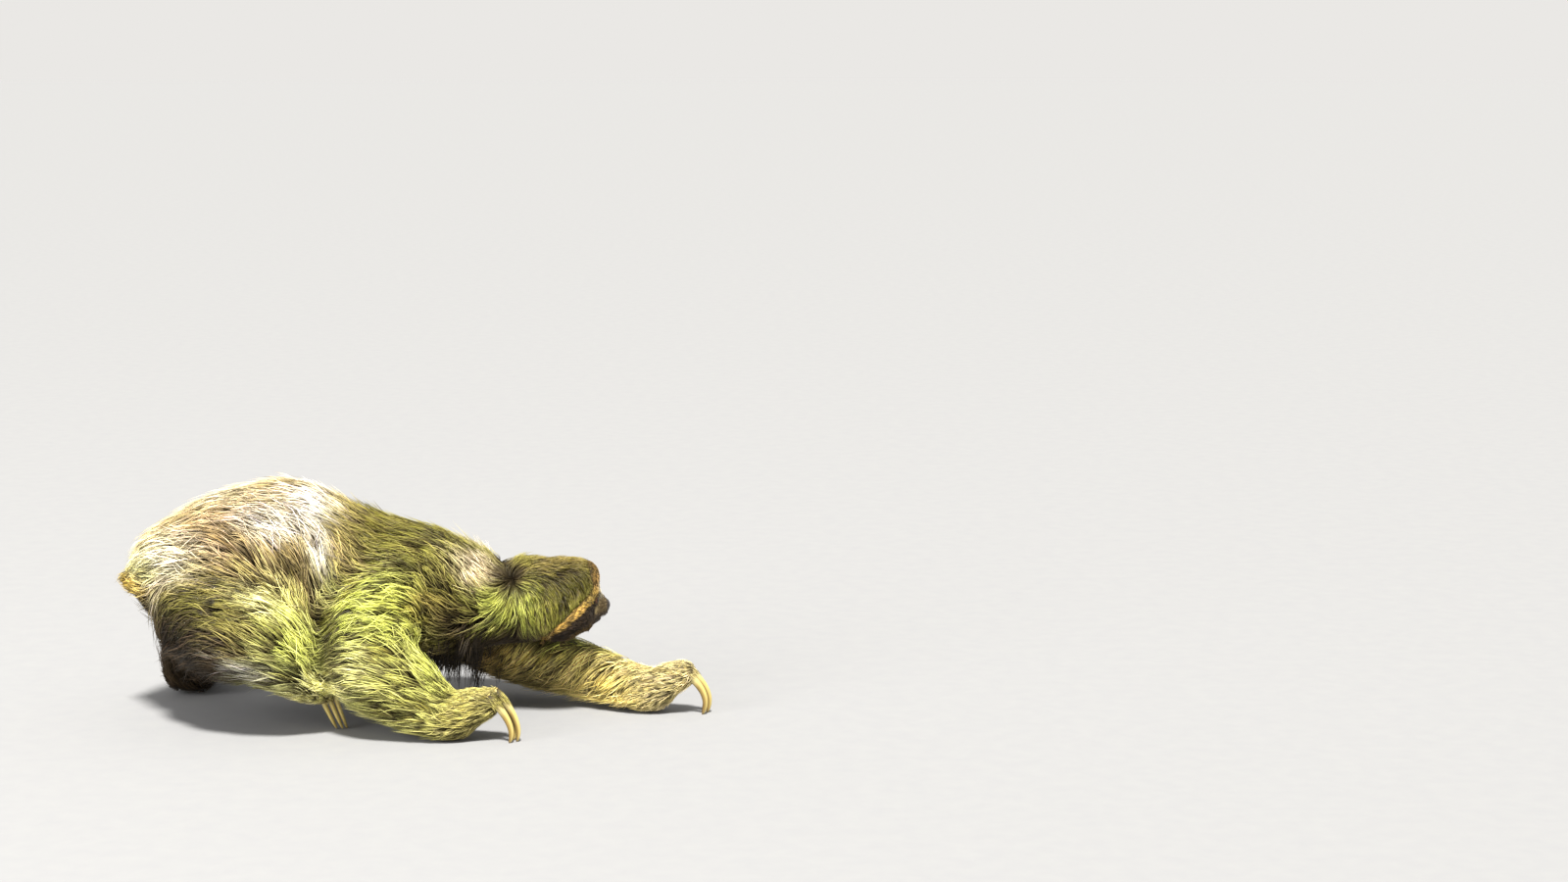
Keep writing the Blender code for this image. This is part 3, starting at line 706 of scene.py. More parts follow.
FACE = in_face(in_head(O)) * ease(SHARES[:, 2] + SHARES[:, 3], 0.3, 0.7)
before_rim = H[:, 0] - np.interp(H[:, 2], RIM_HEIGHT, RIM_FORWARD)
STEP = 0.0008 + 0.0038 * np.exp(-(before_rim / 0.0060) ** 2) * (1.0 - 0.65 * ease(H[:, 2], 0.002, 0.012))
STEP += 0.0068 * ease(-N[:, 2], 0.10, 0.70) * ease(-H[:, 2], 0.020, 0.034) * ease(0.052 - H[:, 0], 0.0, 0.014)
STEP += 0.0016 * ease(H[:, 0], 0.044, 0.052) * np.exp(-((H[:, 2] - 0.013) / 0.010) ** 2)
DEPTH = by_solid(COAT_DEPTH) * (1.0 - FACE) + STEP * FACE
DEPTH = spread(DEPTH, TABLE, 2)
SKIN = drawn_in(O, TRIANGLES, TABLE, DEPTH)
FACE_SOFT = ease(spread(FACE, TABLE, 1), 0.3, 0.9)[:, None]
normal_in_head = normals_of(in_head(SKIN), TRIANGLES)
shaped = rim_of_hair(in_head(SKIN), normal_in_head)
shaped = with_muzzle(shaped, normal_in_head)
shaped = with_lids(shaped)
shaped = shaped @ HEAD_TURN.T + np.array(HEAD_AT)
SKIN = SKIN + (shaped - SKIN) * FACE_SOFT
SKIN[:, 2] = np.maximum(SKIN[:, 2], 0.0012)
SKIN_NORMAL = normals_of(SKIN, TRIANGLES)
O = O + (SKIN + SKIN_NORMAL * FACE_HAIR - O) * FACE_SOFT
N = unit(N + (SKIN_NORMAL - N) * FACE_SOFT)
LIE = lie_of_coat(O, N, SHARES, TABLE)
MARKING = markings(O, N, SHARES)

# ---------------------------------------------------------------- materials


def named_group(name, inputs, outputs):
    """An empty node group with named inputs (name, kind, value) and outputs (name, kind)."""
    group = bpy.data.node_groups.new(name, "ShaderNodeTree")
    for label, kind, value in inputs:
        socket = group.interface.new_socket(label, in_out="INPUT", socket_type=f"NodeSocket{kind}")
        if value is not None:
            socket.default_value = value
    for label, kind in outputs:
        group.interface.new_socket(label, in_out="OUTPUT", socket_type=f"NodeSocket{kind}")
    return group, group.nodes.new("NodeGroupInput"), group.nodes.new("NodeGroupOutput")


def math_node(tree, operation, *values, clamp=False):
    """One sum of two numbers or sockets."""
    node = tree.nodes.new("ShaderNodeMath")
    node.operation = operation
    node.use_clamp = clamp
    for socket, value in zip(node.inputs, values):
        if isinstance(value, (int, float)):
            socket.default_value = value
        else:
            tree.links.new(value, socket)
    return node.outputs[0]


def mixed(tree, share, first, second, blend="MIX"):
    """Two colours mixed by a share."""
    node = tree.nodes.new("ShaderNodeMix")
    node.data_type = "RGBA"
    node.blend_type = blend
    for socket, value in ((node.inputs[0], share), (node.inputs[6], first), (node.inputs[7], second)):
        if isinstance(value, (int, float)):
            socket.default_value = value
        elif isinstance(value, (tuple, list, np.ndarray)):
            socket.default_value = tuple(float(v) for v in value[:3]) + (1.0,)
        else:
            tree.links.new(value, socket)
    return node.outputs[2]


def curve_node(tree, value, points):
    """A smooth curve through (place, height) points, as grey stops of a ramp."""
    node = tree.nodes.new("ShaderNodeValToRGB")
    ramp = node.color_ramp
    ramp.interpolation = "EASE"
    while len(ramp.elements) < len(points):
        ramp.elements.new(0.5)
    for element, (place, height) in zip(ramp.elements, points):
        element.position = place
        element.color = (height, height, height, 1.0)
    tree.links.new(value, node.inputs[0])
    return node.outputs[0]


def attribute(tree, name):
    """What a mesh carries by that name."""
    node = tree.nodes.new("ShaderNodeAttribute")
    node.attribute_name = name
    return node


def noise(tree, scale, detail=3.0, stretch=None, rough=0.55):
    """Noise on the object's own places, stretched by three factors where they are given."""
    node = tree.nodes.new("ShaderNodeTexNoise")
    node.inputs["Scale"].default_value = scale
    node.inputs["Detail"].default_value = detail
    node.inputs["Roughness"].default_value = rough
    coordinates = tree.nodes.new("ShaderNodeTexCoord")
    source = coordinates.outputs["Object"]
    if stretch:
        mapping = tree.nodes.new("ShaderNodeMapping")
        mapping.inputs["Scale"].default_value = stretch
        tree.links.new(source, mapping.inputs["Vector"])
        source = mapping.outputs["Vector"]
    tree.links.new(source, node.inputs["Vector"])
    return node.outputs["Fac"]


def hair_tone_group():
    """Colour of hair from its marking: dark toward the root, as browner underfur and as painted shade
    deep in the coat, paler toward the tip, each strand a little lighter, darker, yellower or greyer
    than the next by its two tones."""
    group, given, out = named_group(
        "hair_tone",
        (("Marking", "Color", (0.3, 0.28, 0.1, 1.0)), ("Along", "Float", 0.5), ("Tone", "Float", 0.5),
         ("Tint", "Float", 0.5), ("Root Shade", "Float", 0.3)),
        (("Colour", "Color"), ("Roughness", "Float")))
    rise = curve_node(group, given.outputs["Along"], ((0.0, 0.0), (0.28, 0.26), (0.66, 0.86), (1.0, 1.0)))
    parts = group.nodes.new("ShaderNodeSeparateColor")
    group.links.new(given.outputs["Marking"], parts.inputs["Color"])
    pale = math_node(group, "MULTIPLY", parts.outputs["Blue"], 0.62, clamp=True)
    base = math_node(group, "ADD", given.outputs["Root Shade"], pale)
    root = math_node(group, "SUBTRACT", 1.0, base)
    shade = math_node(group, "ADD", base, math_node(group, "MULTIPLY", rise, root))
    tone = math_node(group, "ADD", math_node(group, "MULTIPLY", given.outputs["Tone"], 1.15), 0.40)
    shade = math_node(group, "MULTIPLY", shade, tone)
    root_share = math_node(group, "MULTIPLY", math_node(group, "SUBTRACT", 1.0, rise),
                           math_node(group, "SUBTRACT", 1.0, pale))
    rooted = mixed(group, root_share, given.outputs["Marking"], UMBER * 1.6)
    warm_share = math_node(group, "SUBTRACT", given.outputs["Tint"], 0.50)
    warm_share = math_node(group, "MULTIPLY", warm_share, 2.0, clamp=True)
    warm = mixed(group, warm_share, rooted, (1.52, 1.45, 1.90), "MULTIPLY")
    cool_share = math_node(group, "SUBTRACT", 0.40, given.outputs["Tint"])
    cool_share = math_node(group, "MULTIPLY", cool_share, 2.4, clamp=True)
    cool = mixed(group, cool_share, warm, (0.62, 0.54, 0.40), "MULTIPLY")
    grey = group.nodes.new("ShaderNodeCombineColor")
    for socket in grey.inputs:
        group.links.new(shade, socket)
    group.links.new(mixed(group, 1.0, cool, grey.outputs[0], "MULTIPLY"), out.inputs["Colour"])
    group.links.new(math_node(group, "ADD", 0.42, math_node(group, "MULTIPLY", given.outputs["Tone"], 0.18)),
                    out.inputs["Roughness"])
    return group


HAIR_TONE = hair_tone_group()


def new_material(name):
    """A material with its tree and its Principled shader."""
    made = bpy.data.materials.new(name)
    made.use_nodes = True
    tree = made.node_tree
    return made, tree, tree.nodes["Principled BSDF"]


def coat_material():
    """Strands: the marking by strand, its tones, and a low sheen."""
    made, tree, shader = new_material("coat_hair")
    tone = tree.nodes.new("ShaderNodeGroup")
    tone.node_tree = HAIR_TONE
    tree.links.new(attribute(tree, "marking").outputs["Color"], tone.inputs["Marking"])
    tree.links.new(attribute(tree, "along").outputs["Fac"], tone.inputs["Along"])
    tree.links.new(attribute(tree, "tone").outputs["Fac"], tone.inputs["Tone"])
    tree.links.new(attribute(tree, "tint").outputs["Fac"], tone.inputs["Tint"])
    tone.inputs["Root Shade"].default_value = 0.08
    tree.links.new(tone.outputs["Colour"], shader.inputs["Base Color"])
    tree.links.new(tone.outputs["Roughness"], shader.inputs["Roughness"])
    shader.inputs["Specular IOR Level"].default_value = 0.35
    return made


def skin_material():
    """Skin under the coat with the same markings, darkened with painted shade as at the hair's roots,
    short flat hair as bump, and the bare nose and lids smooth and moist."""
    made, tree, shader = new_material("skin_and_short_hair")
    tone = tree.nodes.new("ShaderNodeGroup")
    tone.node_tree = HAIR_TONE
    tree.links.new(attribute(tree, "marking").outputs["Color"], tone.inputs["Marking"])
    bare = attribute(tree, "bare").outputs["Fac"]
    short = attribute(tree, "short").outputs["Fac"]
    grain = noise(tree, 420.0, 4.0, (1.0, 1.0, 0.45))
    lying = math_node(tree, "ADD", 0.16, math_node(tree, "MULTIPLY", short, 0.40))
    tree.links.new(lying, tone.inputs["Along"])
    tree.links.new(grain, tone.inputs["Tone"])
    tone.inputs["Tint"].default_value = 0.45
    tone.inputs["Root Shade"].default_value = 0.16
    coarse = noise(tree, 60.0, 5.0)
    wet = mixed(tree, bare, tone.outputs["Colour"], NOSE_DARK)
    dull = mixed(tree, math_node(tree, "MULTIPLY", coarse, 0.35), wet, DARK)
    tree.links.new(dull, shader.inputs["Base Color"])
    tree.links.new(math_node(tree, "SUBTRACT", 0.72, math_node(tree, "MULTIPLY", bare, 0.38)),
                   shader.inputs["Roughness"])
    pebble = noise(tree, 900.0, 2.0)
    height = math_node(tree, "ADD", math_node(tree, "MULTIPLY", grain, 0.7),
                       math_node(tree, "MULTIPLY", pebble, 0.3))
    bump = tree.nodes.new("ShaderNodeBump")
    bump.inputs["Strength"].default_value = 0.6
    bump.inputs["Distance"].default_value = 0.0006
    tree.links.new(height, bump.inputs["Height"])
    tree.links.new(bump.outputs["Normal"], shader.inputs["Normal"])
    return made


def claw_material():
    """Horn: yellow, with a painted highlight along the crest and painted shade underneath, browner at
    the root, with fine streaks along the claw and a worn, dusty tip."""
    made, tree, shader = new_material("claw_horn")
    along = attribute(tree, "along").outputs["Fac"]
    crest = attribute(tree, "crest").outputs["Fac"]
    streak = noise(tree, 1.0, 4.0, (900.0, 900.0, 90.0))
    blotch = noise(tree, 140.0, 3.0)
    # Painted highlight and shade: pale on the crest, dark brown underneath, as if lit from above.
    height = curve_node(tree, crest, ((0.0, 0.0), (0.50, 0.12), (0.78, 0.75), (1.0, 1.0)))
    horn = mixed(tree, height, paint(72, 52, 22), paint(244, 226, 142))
    horn = mixed(tree, math_node(tree, "MULTIPLY", streak, 0.75), horn, paint(170, 134, 54))
    root = curve_node(tree, along, ((0.0, 0.0), (0.10, 0.10), (0.20, 0.60), (0.42, 0.05), (1.0, 0.0)))
    horn = mixed(tree, root, horn, paint(214, 204, 146))
    tip = curve_node(tree, along, ((0.0, 0.0), (0.78, 0.0), (0.95, 0.45), (1.0, 0.7)))
    horn = mixed(tree, math_node(tree, "MULTIPLY", tip, blotch), horn, paint(122, 104, 80))
    tree.links.new(horn, shader.inputs["Base Color"])
    tree.links.new(math_node(tree, "ADD", 0.30, math_node(tree, "MULTIPLY", streak, 0.30)),
                   shader.inputs["Roughness"])
    bump = tree.nodes.new("ShaderNodeBump")
    bump.inputs["Strength"].default_value = 0.35
    bump.inputs["Distance"].default_value = 0.0004
    tree.links.new(streak, bump.inputs["Height"])
    tree.links.new(bump.outputs["Normal"], shader.inputs["Normal"])
    return made


def eye_material():
    """Wet dark eye: black pupil, deep brown iris with fine rays, and a brown edge."""
    made, tree, shader = new_material("eye_wet")
    ring = attribute(tree, "ring").outputs["Fac"]
    rays = noise(tree, 1800.0, 3.0)
    iris = mixed(tree, rays, paint(46, 30, 20), paint(92, 62, 38))
    pupil = curve_node(tree, ring, ((0.0, 1.0), (0.30, 1.0), (0.36, 0.0), (1.0, 0.0)))
    edge = curve_node(tree, ring, ((0.0, 0.0), (0.66, 0.0), (0.80, 1.0), (1.0, 1.0)))
    colour = mixed(tree, pupil, iris, paint(8, 7, 6))
    tree.links.new(mixed(tree, edge, colour, paint(38, 26, 20)), shader.inputs["Base Color"])
    shader.inputs["Roughness"].default_value = 0.12
    shader.inputs["Specular IOR Level"].default_value = 0.25
    shader.inputs["Coat Weight"].default_value = 0.15
    shader.inputs["Coat Roughness"].default_value = 0.04
    return made


COAT_MATERIAL = coat_material()

# ---------------------------------------------------------------- skin


def make_skin():
    """The skin: the outer form's own corners and faces, drawn in under the coat."""
    mesh = form
    mesh.name = "skin"
    mesh.vertices.foreach_set("co", SKIN.astype(np.float32).ravel())
    mesh.polygons.foreach_set("use_smooth", np.full(len(mesh.polygons), True))
    mesh.update()
    colour_on(mesh, "marking", MARKING)
    h = in_head(SKIN)
    bare = nose_pad(h) * FACE
    lids = np.zeros(len(h))
    for side in SIDES:
        middle = eye_frame(side)[0]
        reach = np.linalg.norm(h - middle, axis=1)
        lids = np.maximum(lids, 0.85 * (1.0 - ease(reach, EYE_ROUND + 0.0010, EYE_ROUND + 0.0022)))
    number_on(mesh, "bare", np.maximum(bare, lids * FACE))
    short = SHARES[:, PAWS].sum(axis=1)
    number_on(mesh, "short", np.clip(0.45 * short + FACE, 0.0, 1.0))
    piece = collection_object("skin", mesh)
    mesh.materials.clear()
    mesh.materials.append(skin_material())
    mesh.uv_layers.new(name="OFBake")
    bpy.context.view_layer.objects.active = piece
    piece.select_set(True)
    bpy.ops.object.mode_set(mode="EDIT")
    bpy.ops.mesh.select_all(action="SELECT")
    bpy.ops.uv.smart_project(angle_limit=math.radians(66), island_margin=0.002)
    bpy.ops.object.mode_set(mode="OBJECT")
    piece.select_set(False)
    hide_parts(*FLESH)
    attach(piece, "root")
    return piece


skin = make_skin()
UNWRAP = np.empty(len(skin.data.loops) * 2, np.float32)
skin.data.uv_layers["OFBake"].data.foreach_get("uv", UNWRAP)
UNWRAP = UNWRAP.reshape(-1, 2)

# ---------------------------------------------------------------- strands

RIM_OVERHANG = 0.0010  # how far the long hair hangs over the rim of the face
HOPS = 3  # hops to the nearest corner after each part of a step
CELL = 0.0035  # each strand's patch of the unwrap is snapped to squares of this size
PATCH = 0.0030


def sow(count, density):
    """Roots: triangles drawn by area times density, and a random place in each."""
    a, b, c = (O[TRIANGLES[:, k]] for k in range(3))
    area = np.linalg.norm(np.cross(b - a, c - a), axis=1)
    weight = area * density[TRIANGLES].mean(axis=1)
    chosen = RNG.choice(len(TRIANGLES), count, p=weight / weight.sum())
    u, v = RNG.random(count), RNG.random(count)
    flip = u + v > 1.0
    u, v = np.where(flip, 1.0 - u, u), np.where(flip, 1.0 - v, v)
    share = np.stack([1.0 - u - v, u, v], axis=1)
    return chosen, share


def follow(here, place, stride, veer, curl, rings, parts):
    """Paths over the outer form. Each ring is reached in parts; in each part the path goes one
    stride on along the lie of the coat, turned by the strand's own veer and by its curl times the
    way gone, and drops to the plane of the nearest corner, which is found by hopping from
    neighbour to neighbour."""
    count = len(here)
    rows = np.arange(count)
    path = np.empty((count, rings, 3))
    corner = np.empty((count, rings), np.int64)
    heading = None
    for ring in range(rings):
        path[:, ring], corner[:, ring] = place, here
        if ring == rings - 1:
            break
        turn = (veer + curl * ring / (rings - 1))[:, None]
        for _ in range(parts):
            wish = LIE[here] * np.cos(turn) + np.cross(N[here], LIE[here]) * np.sin(turn)
            heading = wish if heading is None else unit(0.45 * heading + 0.55 * wish)
            place = place + heading * stride[:, None]
            for _ in range(HOPS):
                around = TABLE[here]
                gap = ((O[around] - place[:, None]) ** 2).sum(axis=2)
                here = around[rows, gap.argmin(axis=1)]
            off = ((place - O[here]) * N[here]).sum(axis=1)
            place = place - N[here] * off[:, None]
    return path, corner


def nearest_leader(root, leaders):
    """For each strand the leader whose root is nearest, in place and in the way the skin faces."""
    keys = np.concatenate([O[root], N[root] * 0.02], axis=1).astype(np.float32)
    heads = keys[leaders]
    squares = (heads ** 2).sum(axis=1)
    return np.concatenate([(squares - 2.0 * rows @ heads.T).argmin(axis=1)
                           for rows in np.array_split(keys, max(1, len(keys) // 3000))])


def cut_at_rim(path, corner):
    """Long hair of the head ends where it would pass the rim of the face: the path is run again
    over only the share of its length that lies behind the rim."""
    h = in_head(path.reshape(-1, 3)).reshape(path.shape)
    past = h[..., 0] - np.interp(h[..., 2], RIM_HEIGHT, RIM_FORWARD) - RIM_OVERHANG
    past = np.where(HELMET[corner[:, :1]] > 0.3, past, -1.0)
    rings = path.shape[1]
    crossed = past > 0.0
    first = np.where(crossed.any(axis=1), crossed.argmax(axis=1), rings - 1)
    rows = np.arange(len(path))
    before, after = past[rows, np.maximum(first - 1, 0)], past[rows, first]
    share = np.where(crossed.any(axis=1), -before / np.maximum(after - before, 1e-6), 1.0)
    reach = np.clip((np.maximum(first - 1, 0) + np.clip(share, 0.0, 1.0)) / (rings - 1), 0.12, 1.0)
    spot = np.linspace(0.0, 1.0, rings)[None] * (reach * (rings - 1))[:, None]
    low = np.minimum(spot.astype(int), rings - 2)
    part = (spot - low)[..., None]
    moved = path[rows[:, None], low] * (1.0 - part) + path[rows[:, None], low + 1] * part
    return moved, corner[rows[:, None], np.round(spot).astype(int)], reach


def grow(count, density, length, width, rings, parts, lock_size, lift, wave, stray):
    """Strands as paths with a width, a tone and a tint each. A strand rises from the skin to its
    own layer of the coat in the first third, leans toward the path of the leader of its lock the
    more the nearer the tip, and waves sideways by a sine that grows toward the tip. A share of
    strays is thinner and paler, stands higher and goes its own way."""
    chosen, share = sow(count, density)
    corners = TRIANGLES[chosen]
    root = corners[np.arange(count), share.argmax(axis=1)]
    place = (O[corners] * share[:, :, None]).sum(axis=1)
    off = ((place - O[root]) * N[root]).sum(axis=1)
    place = place - N[root] * off[:, None]
    leaders = RNG.choice(count, max(1, count // lock_size), replace=False)
    lock = nearest_leader(root, leaders)

    def by_lock(spread_of):
        return spread_of * RNG.standard_normal(len(leaders))[lock]

    loose = RNG.random(count) < stray
    long = length[root] * RNG.uniform(0.62, 1.25, count) * np.clip(1.0 + by_lock(0.12), 0.6, 1.3)
    calm = 1.0 - 0.5 * HELMET[root]
    veer = 0.15 * ripple(O[root], 0.055, 1.0) + by_lock(0.11) + RNG.normal(0.0, 0.07, count)
    veer = (veer + loose * RNG.normal(0.0, 0.32, count)) * calm
    curl = (by_lock(0.22) + RNG.normal(0.0, 0.15, count)) * calm
    path, corner = follow(root, place, long / ((rings - 1) * parts), veer, curl, rings, parts)
    path, corner, reach = cut_at_rim(path, corner)
    long = long * reach
    t = np.linspace(0.0, 1.0, rings)[None, :]
    pull = (RNG.uniform(0.15, 0.85, len(leaders))[lock] * ~loose)[:, None] * t ** 1.3
    toward = path[leaders][lock] - path
    near = np.linalg.norm(toward[:, -1], axis=1) < 0.9 * long
    path = path + toward * (pull * near[:, None])[:, :, None]
    normal = N[corner]
    path[:, 0] -= LIE[root] * (0.011 * PARTING[root] * RNG.random(count))[:, None]
    tangent = unit(np.gradient(path, axis=1))
    side = unit(np.cross(normal, tangent))
    phase = RNG.uniform(0.0, 2.0 * np.pi, len(leaders))[lock] + RNG.normal(0.0, 0.7, count)
    turns = RNG.uniform(0.5, 1.4, count)
    amount = wave * RNG.uniform(0.1, 1.0, count) ** 1.5 * (1.0 + loose)
    swing = amount[:, None] * t * np.sin(2 * np.pi * turns[:, None] * t + phase[:, None])
    path = path + side * swing[:, :, None]
    layer = np.where(loose, 1.0, RNG.beta(2.4, 1.0, count))
    rise = np.clip(t / 0.36, 0.0, 1.0) ** 0.75
    depth = (SKIN - O)[corner]
    path = path + depth * (1.0 - rise * (layer * 0.96)[:, None])[:, :, None]
    stand = np.clip(by_lock(0.45), -0.2, 1.2) + RNG.uniform(0.0, 0.9, count) ** 2 + 0.8 * loose
    path = path + normal * (lift[root] * stand * reach)[:, None, None] * (t ** 1.7)[:, :, None]
    path[:, :, 2] -= 0.12 * long[:, None] * t ** 2.4 * RNG.uniform(0.0, 1.0, (count, 1))
    path[:, :, 2] = np.maximum(path[:, :, 2], 0.0012 + 0.002 * layer[:, None])
    tone = np.clip(0.5 + by_lock(0.23) + 0.24 * RNG.standard_normal(count) + 0.30 * loose, 0.0, 1.0)
    tint = np.clip(0.45 + by_lock(0.17) + 0.17 * RNG.standard_normal(count) + 0.30 * loose, 0.0, 1.0)
    uv = (UNWRAP[LOOPS[chosen]] * share[:, :, None]).sum(axis=1)
    middle = corner[:, round(0.6 * (rings - 1))]
    marking = 0.3 * (MARKING[corners] * share[:, :, None]).sum(axis=1) + 0.7 * MARKING[middle]
    broad = width[root] * RNG.uniform(0.70, 1.20, count) * np.where(loose, 0.75, 1.0)
    return dict(path=path, normal=normal, width=broad, tone=tone, tint=tint, uv=uv,
                marking=marking, root=root)


def hang(count, density, length, width):
    """The dark fringe of the chest: strands that leave the skin along the lie of the coat and turn
    down, P(t) = root + L (a lie + b down), with a = t - 0.55 t^2 and b = 0.25 t + 0.75 t^2."""
    chosen, share = sow(count, density)
    corners = TRIANGLES[chosen]
    root = corners[np.arange(count), share.argmax(axis=1)]
    start = (SKIN[corners] * share[:, :, None]).sum(axis=1)
    rings = 5
    t = np.linspace(0.0, 1.0, rings)[None, :, None]
    leaders = RNG.choice(count, max(1, count // 9), replace=False)
    lock = nearest_leader(root, leaders)
    way = unit(LIE[root] * 0.8 + N[root] * 0.6 + RNG.normal(0.0, 0.25, (count, 3)))
    down = np.array((-0.12, 0.0, -1.0)) + RNG.normal(0.0, 0.24, (len(leaders), 3))[lock]
    long = (length * RNG.uniform(0.35, 1.15, count))[:, None, None]
    path = start[:, None] + long * ((t - 0.55 * t ** 2) * way[:, None] * 0.5
                                    + (0.25 * t + 0.75 * t ** 2) * down[:, None])
    toward = path[leaders][lock] - path
    near = (np.linalg.norm(toward[:, 0], axis=1) < 0.02)[:, None, None]
    path = path + toward * near * 0.6 * t ** 1.5
    path[:, :, 2] = np.maximum(path[:, :, 2], 0.002)
    normal = np.broadcast_to(unit(N[root] + np.array((0.0, -1.0, 0.2)))[:, None], path.shape)
    tone = np.clip(0.45 + 0.25 * RNG.standard_normal(count), 0.0, 1.0)
    broad = np.full(count, width) * RNG.uniform(0.7, 1.2, count)
    return dict(path=path, normal=normal, width=broad, tone=tone,
                tint=np.clip(0.40 + 0.12 * RNG.standard_normal(count), 0.0, 1.0),
                uv=(UNWRAP[LOOPS[chosen]] * share[:, :, None]).sum(axis=1),
                marking=np.tile(DARK, (count, 1)) * 0.9, root=root)


def strand_mesh(name, strands, rows):
    """Each strand is a three-sided profile carried along its path, widest near a third of the way
    and closed at the root and at a point. Ring r's corners lie at 90, 210 and 330 degrees about
    the path, half width across by 0.35 width high."""
    path, normal = strands["path"][rows], strands["normal"][rows]
    count, rings, _ = path.shape
    body = rings - 1
    tangent = unit(np.gradient(path, axis=1))
    side = unit(np.cross(normal, tangent))
    up = np.cross(tangent, side)
    t = np.linspace(0.0, 1.0, rings)[:body]
    profile = np.interp(t, (0.0, 0.3, 0.7, 1.0), (0.80, 1.0, 0.70, 0.0))
    half = 0.5 * strands["width"][rows][:, None] * profile
    angles = np.radians((90.0, 210.0, 330.0))
    ring = (path[:, :body, None]
            + side[:, :body, None] * (half[:, :, None] * np.cos(angles))[..., None]
            + up[:, :body, None] * (0.7 * half[:, :, None] * np.sin(angles))[..., None])
    places = np.concatenate([ring.reshape(count, body * 3, 3), path[:, -1:]], axis=1)
    corners = body * 3 + 1
    faces = [(0, 2, 1)]
    for r in range(body - 1):
        for k in range(3):
            a, b = 3 * r + k, 3 * r + (k + 1) % 3
            faces += [(a, b, b + 3), (a, b + 3, a + 3)]
    last = 3 * (body - 1)
    faces += [(last + k, last + (k + 1) % 3, corners - 1) for k in range(3)]
    faces = np.array(faces, np.int32)
    across = np.concatenate([np.tile((0.5, 0.0, 1.0), body), (0.5,)])
    along = np.concatenate([np.repeat(t, 3), (1.0,)])
    everyone = faces[None] + (np.arange(count, dtype=np.int32) * corners)[:, None, None]
    mesh = mesh_of(name, places.reshape(-1, 3), everyone.reshape(-1, 3))
    colour_on(mesh, "marking", np.repeat(strands["marking"][rows], corners, axis=0))
    number_on(mesh, "along", np.tile(along, count))
    number_on(mesh, "tone", np.repeat(strands["tone"][rows], corners))
    number_on(mesh, "tint", np.repeat(strands["tint"][rows], corners))
    cell = (np.floor(strands["uv"][rows] / CELL) + 0.5) * CELL
    local = np.stack([across - 0.5, along - 0.5], axis=1) * PATCH
    uv = np.clip(cell[:, None] + local[None], 0.0, 1.0)[:, faces.ravel()]
    mesh.uv_layers.new(name="OFBake").data.foreach_set("uv", uv.astype(np.float32).ravel())
    mesh.materials.append(COAT_MATERIAL)
    piece = collection_object(name, mesh)
    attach(piece, "root")
    return piece


OWNER = SHARES.argmax(axis=1)
OFF_FLOOR = ease(O[:, 2], 0.0015, 0.0060)
SHORT_HAIR = ease(SHARES[:, PAWS].sum(axis=1), 0.35, 0.65)
HELMET = ease(SHARES[:, FLESH.index("head")], 0.35, 0.65) * (1.0 - FACE)
whorl_gap = np.stack([H[:, 0] - WHORL[0] + 0.003, np.abs(H[:, 1]) - WHORL[1],
                      H[:, 2] - WHORL[2] - 0.004], axis=1)
PARTING = np.exp(-(np.linalg.norm(whorl_gap / np.array((1.0, 1.6, 1.6)), axis=1) / 0.012) ** 2)
PARTING = np.maximum(PARTING, np.exp(-((H[:, 0] + 0.043) / 0.010) ** 2) * ease(H[:, 2], 0.005, 0.025))
PARTING = PARTING * (SHARES[:, FLESH.index("neck")] + SHARES[:, FLESH.index("head")])
FACE_ON = (FACE > 0.5).astype(float)
head_places = in_head(SKIN)
BARE = np.maximum(nose_pad(head_places), 0.0)
lip_gap = near_line(head_places[:, 0], head_places[:, 2], MOUTH_LINE)
BARE = np.maximum(BARE, 0.97 * (1.0 - ease(lip_gap, 0.0009, 0.0018)) * ease(head_places[:, 0], 0.040, 0.046))
for side in SIDES:
    eye_middle, _, eye_along, eye_up = eye_frame(side)
    gap = head_places - eye_middle
    slit = np.hypot((gap @ eye_along) / LID_HALF_LONG, (gap @ eye_up) / LID_HALF_HIGH)
    BARE = np.maximum(BARE, (np.linalg.norm(gap, axis=1) < 0.011) * (1.0 - ease(slit, 1.25, 1.55)))
LENGTH = by_solid(HAIR_LENGTH)
STRIPED = 1.0 - ease(near_line(head_places[:, 0], head_places[:, 2], CHEEK_STRIPE), 0.0040, 0.0080)
FACE_LENGTH = 0.0038 + 0.0050 * ease(-head_places[:, 0], -0.056, -0.020)
FACE_LENGTH = FACE_LENGTH - 0.0010 * ease(head_places[:, 0], 0.050, 0.056)
BROW_OR_STRIPE = np.maximum(STRIPED, ease(head_places[:, 2], 0.004, 0.012))
FACE_LENGTH = FACE_LENGTH + 0.0045 * BROW_OR_STRIPE * (head_places[:, 0] < 0.061)
LENGTH = LENGTH * (1.0 - FACE_ON) + FACE_LENGTH * FACE_ON

